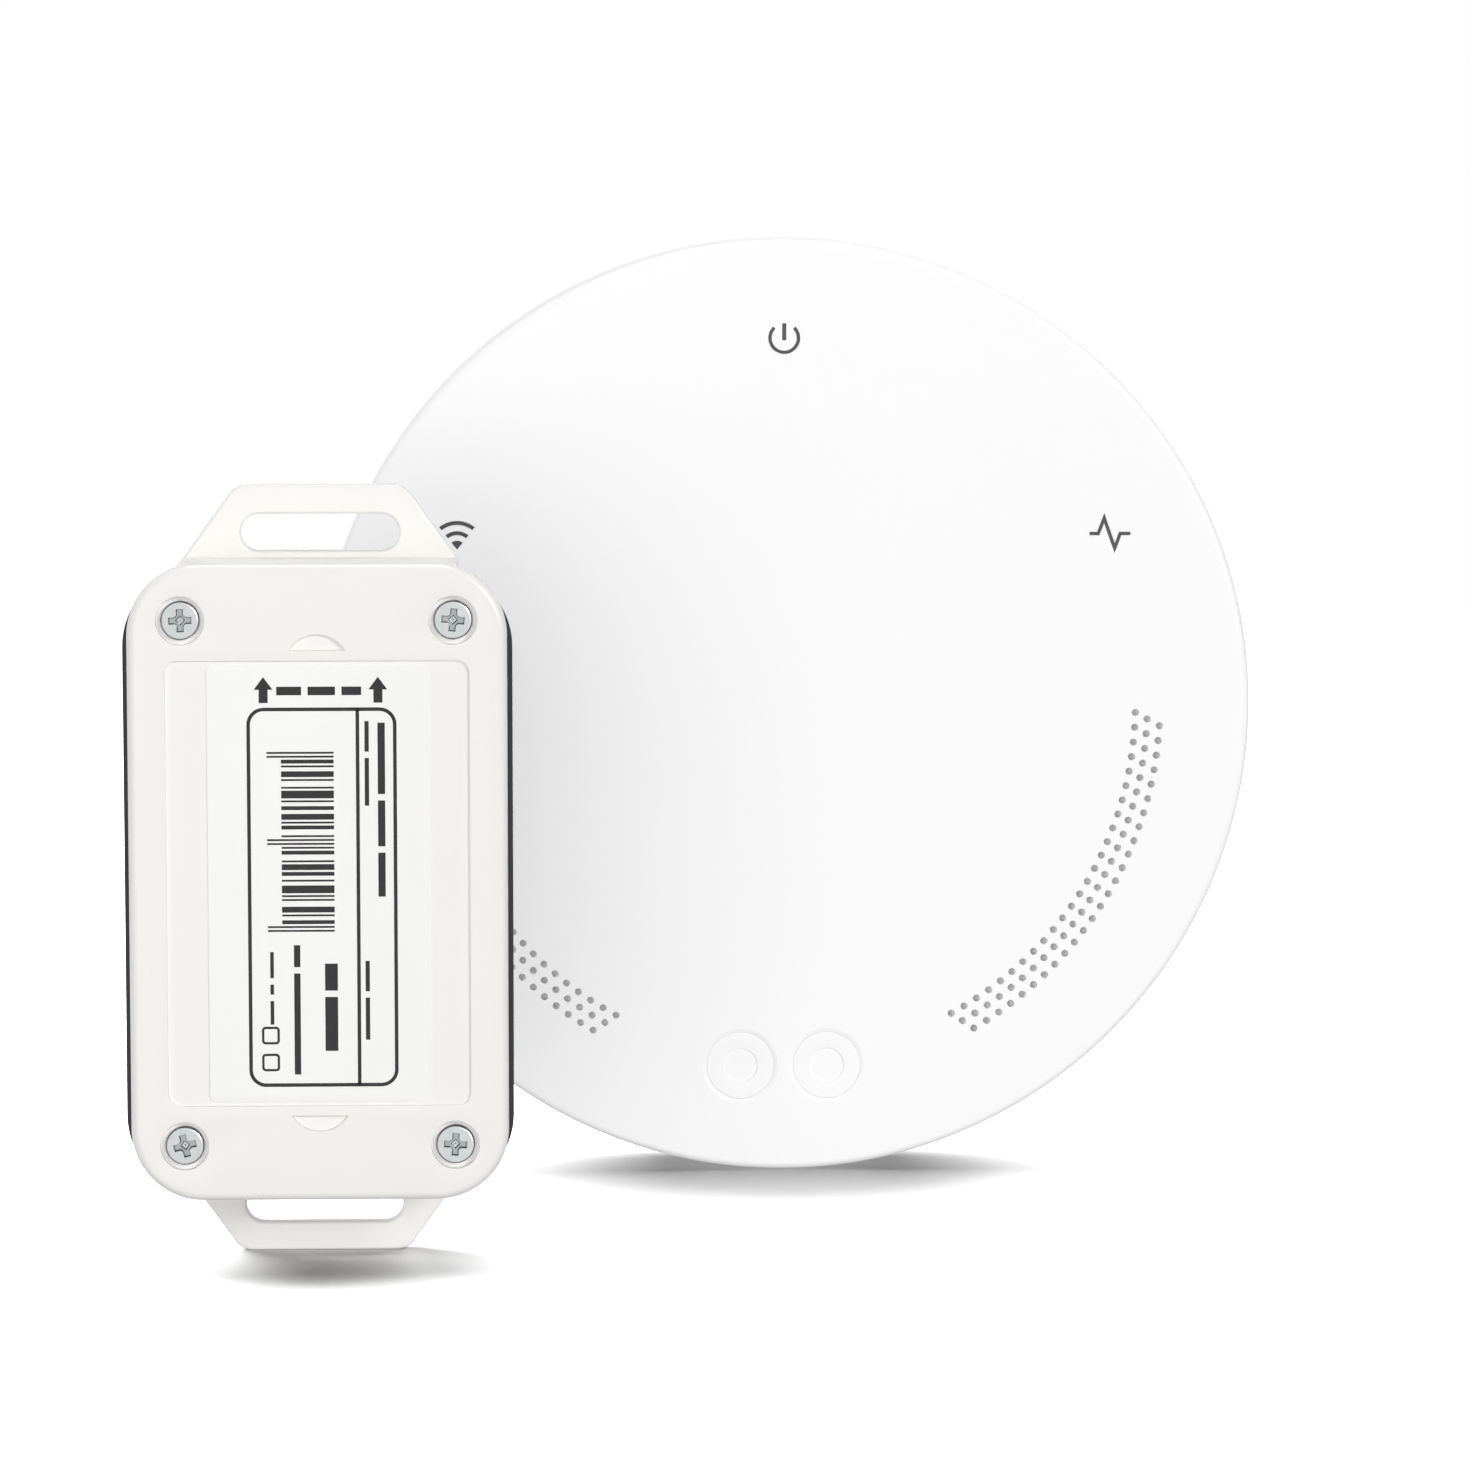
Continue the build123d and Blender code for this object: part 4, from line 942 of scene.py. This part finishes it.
def half_moon(bm, side):
    """The ring of a shallow half-moon recess above or below the panel, its flat side towards the middle."""
    radius = (moon_w**2 / 4 + moon_h**2) / (2 * moon_h)
    base = side * moon_y
    centre = (0, base + side * (moon_h - radius), lid_front)
    half = math.asin(moon_w / 2 / radius)
    start = bm.verts.new((side * moon_w / 2, base, lid_front))
    known = set(bm.edges)
    made = bmesh.ops.spin(bm, geom=[start], cent=centre, axis=(0, 0, 1), angle=2 * half, steps=moon_segments)
    arc = [edge for edge in bm.edges if edge not in known]
    last = [item for item in made["geom_last"] if isinstance(item, bmesh.types.BMVert)][0]
    return arc + [bm.edges.new((last, start))]


def back_cover():
    """The sensor's white half: lid, panel, half moons, screw seats, end blocks and ears."""
    bm = bmesh.new()
    width, height = sensor_w - 2 * lid_edge_r, sensor_h - 2 * lid_edge_r
    rim = rounded(bm, width, height, sensor_corner_r - lid_edge_r, lid_front, sensor_corner_segments)
    width, height = panel_w + 2 * panel_lip, panel_h + 2 * panel_lip
    panel = rounded(bm, width, height, panel_corner_r, lid_front, panel_corner_segments)
    moons = [half_moon(bm, side) for side in (1, -1)]
    seat_r = lid_bore_r + lid_bore_lip
    seats = [
        circle(bm, (x * lid_screw_x, y * lid_screw_y), seat_r, lid_front, lid_bore_segments)
        for x in (-1, 1) for y in (-1, 1)
    ]
    fill(bm, rim, panel, *moons, *seats)
    fill(bm, draw_on(bm, rim, quarter_round(lid_edge_r, lid_edge_steps) + [(0, lid_edge_r - lid_t)]))
    panel_edge = inward(quarter_round(panel_lip, lip_steps))
    fill(bm, draw_on(bm, panel, panel_edge + [(0, panel_lip - panel_deep)]))
    for moon in moons:
        fill(bm, draw_on(bm, moon, [(-moon_lip, -moon_lip), (-moon_draft, moon_lip - moon_deep)]))
    seat_edge = inward(quarter_round(lid_bore_lip, lip_steps))
    seat_steps = [
        (0, lid_bore_lip - seat_ring_deep), (seat_ring_r - lid_bore_r, 0),
        (0, seat_ring_deep - lid_bore_deep),
    ]
    for seat in seats:
        fill(bm, draw_on(bm, seat, seat_edge + seat_steps))
    for side in (1, -1):
        ear(bm, side)
    sensor_piece(bm, "sensor_cover", "sensor_white", replaces="sensor_back_cover")


# Front shell of the sensor


def block_gaps():
    """The solid that cuts room for the end blocks, each in an open gap at one end of the shell."""
    bm = bmesh.new()
    for side in (1, -1):
        middle = (0, side * (block_top - block_t + gap_h / 2 - block_play))
        width = ear_root_w + 2 * block_play
        low = rounded(bm, width, gap_h, block_corner_r, -ear_t - block_play, gap_corner_segments, middle)
        fill(bm, draw_on(bm, low, [(0, gap_len)]))
        fill(bm, low)
    bmesh.ops.recalc_face_normals(bm, faces=bm.faces)
    return to_object(bm, "block_gaps", sensor_middle)


def cut_out(thing, tool):
    """Cuts the tool out of the thing's mesh, and removes the tool."""
    cut = thing.modifiers.new("gaps", "BOOLEAN")
    cut.operation = "DIFFERENCE"
    cut.solver = "EXACT"
    cut.object = tool
    bpy.context.view_layer.update()
    cut_mesh = bpy.data.meshes.new_from_object(thing.evaluated_get(bpy.context.evaluated_depsgraph_get()))
    thing.modifiers.clear()
    thing.data = cut_mesh
    bpy.data.objects.remove(tool)


def front_shell():
    """The sensor's black half: tapered sides, a rounded far edge and gaps for the end blocks."""
    bm = bmesh.new()
    rim = rounded(bm, shell_w, shell_h, shell_corner_r, shell_rim, shell_corner_segments)
    depth = shell_rim + shell_back
    slope = shell_taper / depth
    lean = math.atan(slope)
    angles = [lean + (math.pi / 2 - lean) * index / shell_edge_steps for index in range(shell_edge_steps + 1)]
    far_edge = [
        (shell_edge_r * (math.cos(b) - math.cos(a)), shell_edge_r * (math.sin(a) - math.sin(b)))
        for a, b in zip(angles, angles[1:])
    ]
    side_rise = -depth - sum(rise for grow, rise in far_edge)
    fill(bm, draw_on(bm, rim, [(side_rise * slope, side_rise)] + far_edge))
    fill(bm, draw_on(bm, rim, [(-shell_wall, 0), (0, -shell_wall_deep)]))
    shell = sensor_piece(bm, "sensor_shell", "sensor_black", replaces="sensor_front_shell")
    cut_out(shell, block_gaps())


# Cover screws


def four_ways(points, turn, spot):
    """The points of one quarter, turned four times about the spot."""
    outline = []
    for quarter in range(4):
        way = Matrix.Rotation(math.radians(turn + 90 * quarter), 2)
        corners = [way @ Vector(point) for point in points]
        outline += [(spot[0] + corner.x, spot[1] + corner.y) for corner in corners]
    return outline


def cross_screw(name, spot, turn):
    """A pan head screw whose cross recess has sloping wings and a pit in the middle."""
    bm = bmesh.new()
    seat = lid_front - lid_bore_deep
    top = seat + head_h
    cross_floor = top - cross_deep
    rim = circle(bm, spot, head_r - head_edge_r, top, head_segments)
    wing = (
        (cross_reach, -cross_half_w), (cross_reach, cross_half_w), (cross_corner, cross_half_w),
        (cross_half_w, cross_corner),
    )
    cross = keep_edges(bm, flat_face(bm, four_ways(wing, turn, spot), top))
    fill(bm, rim, cross)
    cross_steps = [(-cross_edge / 2, -cross_edge), (-cross_wall_in, cross_edge - cross_deep)]
    floor_ring = draw_on(bm, cross, cross_steps)
    pit = keep_edges(bm, flat_face(bm, four_ways(((pit_reach, 0),), turn, spot), cross_floor))
    fill(bm, floor_ring, pit)
    pit_floor = draw_on(bm, pit, [(-pit_wall_in, -pit_deep)])
    pip = circle(bm, spot, pip_r, cross_floor - pit_deep, pip_segments)
    fill(bm, pit_floor, pip)
    fill(bm, draw_on(bm, pip, [(-pip_r / 2, -pip_deep)]))
    under = draw_on(bm, rim, quarter_round(head_edge_r) + [(0, head_edge_r - head_h)])
    shank = circle(bm, spot, shank_r, seat, shank_segments)
    fill(bm, under, shank)
    shank_len = seat - sensor_middle.y - back_of("sensor_cover_screws")
    fill(bm, draw_on(bm, shank, [(0, tip_len - shank_len), (tip_r - shank_r, -tip_len)]))
    sensor_piece(bm, name, "screw_steel", "cover_screw_steel", "sensor_cover_screws")


# Label and its print


def label():
    """The film in the panel."""
    bm = bmesh.new()
    width, height = label_w - 2 * label_edge_r, label_h - 2 * label_edge_r
    rim = rounded(bm, width, height, label_corner_r, label_front, label_corner_segments)
    fill(bm, rim)
    edge = quarter_round(label_edge_r, label_edge_steps)
    fill(bm, draw_on(bm, rim, edge + [(0, label_edge_r - label_t)]))
    sensor_piece(bm, "label_film", "label_film", replaces="sensor_label")


def ink_ring(bm, left, right, low, high, radius, line):
    """The faces of an inked line round a rectangle with rounded corners."""
    middle = ((left + right) / 2, (low + high) / 2)
    width, height = right - left, high - low
    outer = rounded(bm, width, height, radius, 0, ink_corner_segments, middle)
    inner = rounded(bm, width - 2 * line, height - 2 * line, radius - line, 0, ink_corner_segments, middle)
    made = fill(bm, outer, inner)["geom"]
    return [item for item in made if isinstance(item, bmesh.types.BMFace)]


def arrow_face(bm, middle):
    """One plain arrow that points up."""
    shaft, head = arrow_shaft_w / 2, arrow_w / 2
    neck = arrow_high - arrow_head_h
    points = [
        (-shaft, arrow_low), (shaft, arrow_low), (shaft, neck), (head, neck), (0, arrow_high), (-head, neck),
        (-shaft, neck),
    ]
    return flat_face(bm, [(middle + x, y) for x, y in points])


def bar_pattern():
    """The bars from top to bottom: how wide each is, the gap under it and whether it is a long one."""
    guard = [(1, 1, True), (1, 1, True)]
    half = [(width, gap, False) for width, gap in bar_shares]
    return guard + half + guard + half[::-1] + guard


def bar_faces(bm):
    """The faces of the bars."""
    faces = []
    bars = bar_pattern()
    unit = (bars_top - bars_bottom) / sum(width + gap for width, gap, is_long in bars)
    top = bars_top
    for width, gap, is_long in bars:
        left = long_bars_left if is_long else bars_left
        faces.append(flat_box(bm, left, bars_right, top - width * unit, top))
        top -= (width + gap) * unit
    return faces


def stroke_faces(bm):
    """The faces of the plain strokes: a row at the head, and columns that run down."""
    faces = []
    left, middle, width, lengths = heading_strokes
    for length in lengths:
        faces.append(flat_box(bm, left, left + length, middle - width / 2, middle + width / 2))
        left += length + stroke_gap
    for middle, top, width, lengths in column_strokes:
        for length in lengths:
            faces.append(flat_box(bm, middle - width / 2, middle + width / 2, top - length, top))
            top -= length + stroke_gap
    return faces


def label_print():
    """Up arrows, a ruled frame, plain bars and plain strokes, in thin ink on the film."""
    bm = bmesh.new()
    frame_sides = (ink_frame_left, ink_frame_right, ink_frame_bottom, ink_frame_top)
    faces = ink_ring(bm, *frame_sides, ink_frame_r, ink_line)
    half = ink_line / 2
    divider = (ink_divider_x - half, ink_divider_x + half, ink_frame_bottom + half, ink_frame_top - half)
    faces.append(flat_box(bm, *divider))
    faces += [arrow_face(bm, middle) for middle in arrow_xs]
    faces += bar_faces(bm) + stroke_faces(bm)
    reach = tick_box_w / 2
    for x, y in tick_box_spots:
        faces += ink_ring(bm, x - reach, x + reach, y - reach, y + reach, tick_box_r, tick_box_line)
    raise_faces(bm, faces, ink_t)
    bmesh.ops.translate(bm, verts=bm.verts, vec=(0, 0, label_front))
    sensor_piece(bm, "label_print", "label_film", "label_ink")


# CAD nodes that are shown as they are, with joined facets and smooth curves


def dress(node):
    """Gives a CAD node its finish, and shades its curves smoothly."""
    thing = frame["nodes"][node]
    thing.data.materials.clear()
    thing.data.materials.append(finishes[node_slots[node]].material)
    thing.data.polygons.foreach_set("use_smooth", [True] * len(thing.data.polygons))
    weld = thing.modifiers.new("join", "WELD")
    weld.merge_threshold = NODE_MERGE_GAP * MM
    split = thing.modifiers.new("edges", "EDGE_SPLIT")
    split.split_angle = SHARP_ANGLE


# Camera, lamps, floor and background


def way_to(side_angle, height_angle):
    """The way from the object to what stands at these angles. 0, 0 is straight in front."""
    side, lift = math.radians(side_angle), math.radians(height_angle)
    return Vector((math.sin(side) * math.cos(lift), -math.cos(side) * math.cos(lift), math.sin(lift)))


def look_back(thing, way):
    """Turns a camera or a lamp so that it looks back along the way."""
    thing.rotation_euler = (-way).to_track_quat("-Z", "Y").to_euler()


def camera():
    """The photograph's viewing angle."""
    data = bpy.data.cameras.new("camera")
    data.lens = camera_lens
    data.sensor_width = camera_sensor
    data.clip_end = view_reach
    thing = add_object("camera", data)
    thing.location = Vector(camera_place) * MM
    look_back(thing, way_to(camera_side_angle, camera_height_angle))
    bpy.context.scene.camera = thing


def collected(name, things):
    """A collection of the things, for a lamp's list."""
    made = bpy.data.collections.new(name)
    for thing in things:
        made.objects.link(thing)
    return made


def lamp(name, side_angle, height_angle, distance, size, level, lights, mirrored=False, stopped_by=()):
    """A soft lamp at a distance in metres, with a size across and up. Level is how bright it renders white
    plastic that faces it. Only what it lights sees it, and only what it is stopped by, if named, throws a
    shadow. Glossy surfaces mirror it where it is mirrored."""
    way = way_to(side_angle, height_angle)
    data = bpy.data.lights.new(name, "AREA")
    data.shape = "RECTANGLE"
    data.size, data.size_y = size
    data.energy = level * (math.pi * distance) ** 2
    thing = add_object(name, data)
    thing.location = way * distance
    look_back(thing, way)
    thing.visible_glossy = mirrored
    thing.light_linking.receiver_collection = collected(f"lit_by_{name}", lights)
    if stopped_by:
        thing.light_linking.blocker_collection = collected(f"stops_{name}", stopped_by)


def direct_rays(tree):
    """1 for camera, glossy and transmission rays, and 0 for the light that falls on the object."""
    rays = tree.nodes.new("ShaderNodeLightPath")
    seen = rays.outputs["Is Camera Ray"]
    for kind in ("Is Glossy Ray", "Is Transmission Ray"):
        either = tree.nodes.new("ShaderNodeMath")
        either.operation = "MAXIMUM"
        tree.links.new(seen, either.inputs[0])
        tree.links.new(rays.outputs[kind], either.inputs[1])
        seen = either.outputs[0]
    return seen


def pale_floor():
    """White where it is lit, shadowed near the object, plain white far off, and clear from below.
    The light that it throws back on the object is even, and mirrors see it plain white."""
    tone = (floor_tone, floor_tone, floor_tone)
    finish = Finish("pale_floor", tone, floor_roughness, Specular_IOR_Level=0.0)
    seen = direct_rays(finish.material.node_tree)
    glow = finish.add("ShaderNodeEmission", {"Strength": finish.between(seen, floor_glow, 1.0)})
    far = finish.add("ShaderNodeEmission")
    reach = finish.add("ShaderNodeVectorMath", {0: finish.place()}, operation="LENGTH").outputs["Value"]
    fade = finish.add(
        "ShaderNodeMapRange", {"Value": reach, "From Min": fade_start, "From Max": fade_end},
        interpolation_type="SMOOTHSTEP",
    )
    share = finish.add("ShaderNodeMath", {0: seen, 1: fade.outputs["Result"]}, operation="MULTIPLY")
    looked_at = finish.add("ShaderNodeLightPath").outputs["Is Camera Ray"]
    below = finish.add("ShaderNodeNewGeometry").outputs["Backfacing"]
    clear = finish.add("ShaderNodeBsdfTransparent")

    def mix(factor, one, other):
        return finish.add("ShaderNodeMixShader", {0: factor, 1: one.outputs[0], 2: other.outputs[0]})

    near = mix(looked_at, glow, finish.shader)
    top = mix(share.outputs[0], near, far)
    both = mix(below, top, clear)
    finish.links.new(both.outputs[0], finish.nodes["Material Output"].inputs["Surface"])
    return finish.material


def floor():
    """The plain floor that the object stands on."""
    bm = bmesh.new()
    bmesh.ops.create_grid(bm, x_segments=1, y_segments=1, size=floor_size / 2)
    bmesh.ops.translate(bm, verts=bm.verts, vec=(0, 0, -hub_r * MM - floor_drop))
    mesh = bpy.data.meshes.new("floor")
    bm.to_mesh(mesh)
    bm.free()
    mesh.materials.append(pale_floor())
    thing = add_object("floor", mesh)
    return thing


def world():
    """Even soft light from all round, and a white background."""
    studio = bpy.data.worlds.new("studio")
    bpy.context.scene.world = studio
    studio.use_nodes = True
    tree = studio.node_tree
    level = tree.nodes.new("ShaderNodeMapRange")
    tree.links.new(direct_rays(tree), level.inputs["Value"])
    level.inputs["To Min"].default_value = world_light
    background = tree.nodes["Background"]
    background.inputs["Color"].default_value = (1, 1, 1, 1)
    tree.links.new(level.outputs["Result"], background.inputs["Strength"])


# The scene

camera()
front_cover()
for icon in icon_angles:
    light_guide(icon)
button("button_left", -1)
button("button_right", 1)
back_cover()
front_shell()
for vertical, y_side in (("upper", 1), ("lower", -1)):
    for horizontal, x_side in (("left", -1), ("right", 1)):
        corner = f"{vertical}_{horizontal}"
        screw_spot = (x_side * lid_screw_x, y_side * lid_screw_y)
        cross_screw(f"cover_screw_{corner}", screw_spot, screw_turns[corner])
label()
label_print()
for node in node_slots:
    if not frame["nodes"][node].hide_render:
        dress(node)

world()
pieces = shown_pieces()
hub_pieces = [thing for thing in pieces if not {"sensor", "tilt_ball"} & set(body_of(thing))]
# Lamps: angles to the side and up, distance, size, level and what they light
lamp("key", 40, 20, 5.0, (1.4, 1.4), 0.50, pieces, mirrored=True)
lamp("fill", -18, 4, 1.3, (0.8, 0.8), 0.53, pieces, stopped_by=hub_pieces)
lamp("side", -105, 15, 5.0, (1.7, 1.7), 0.28, pieces)
lamp("top", 180, 80, 3.0, (1.5, 1.5), 0.40, pieces, mirrored=True)
lamp("back", 160, 15, 5.0, (1.7, 1.7), 0.48, pieces)
ground = [floor()]
lamp("floor_top", 180, 80, 3.0, (3.0, 1.0), 1.35, ground)
lamp("floor_left", -125, 38, 3.0, (1.6, 1.6), 1.7, ground)
lamp("floor_right", 125, 38, 3.0, (1.6, 1.6), 1.7, ground)

bpy.context.scene.view_settings.view_transform = "Standard"
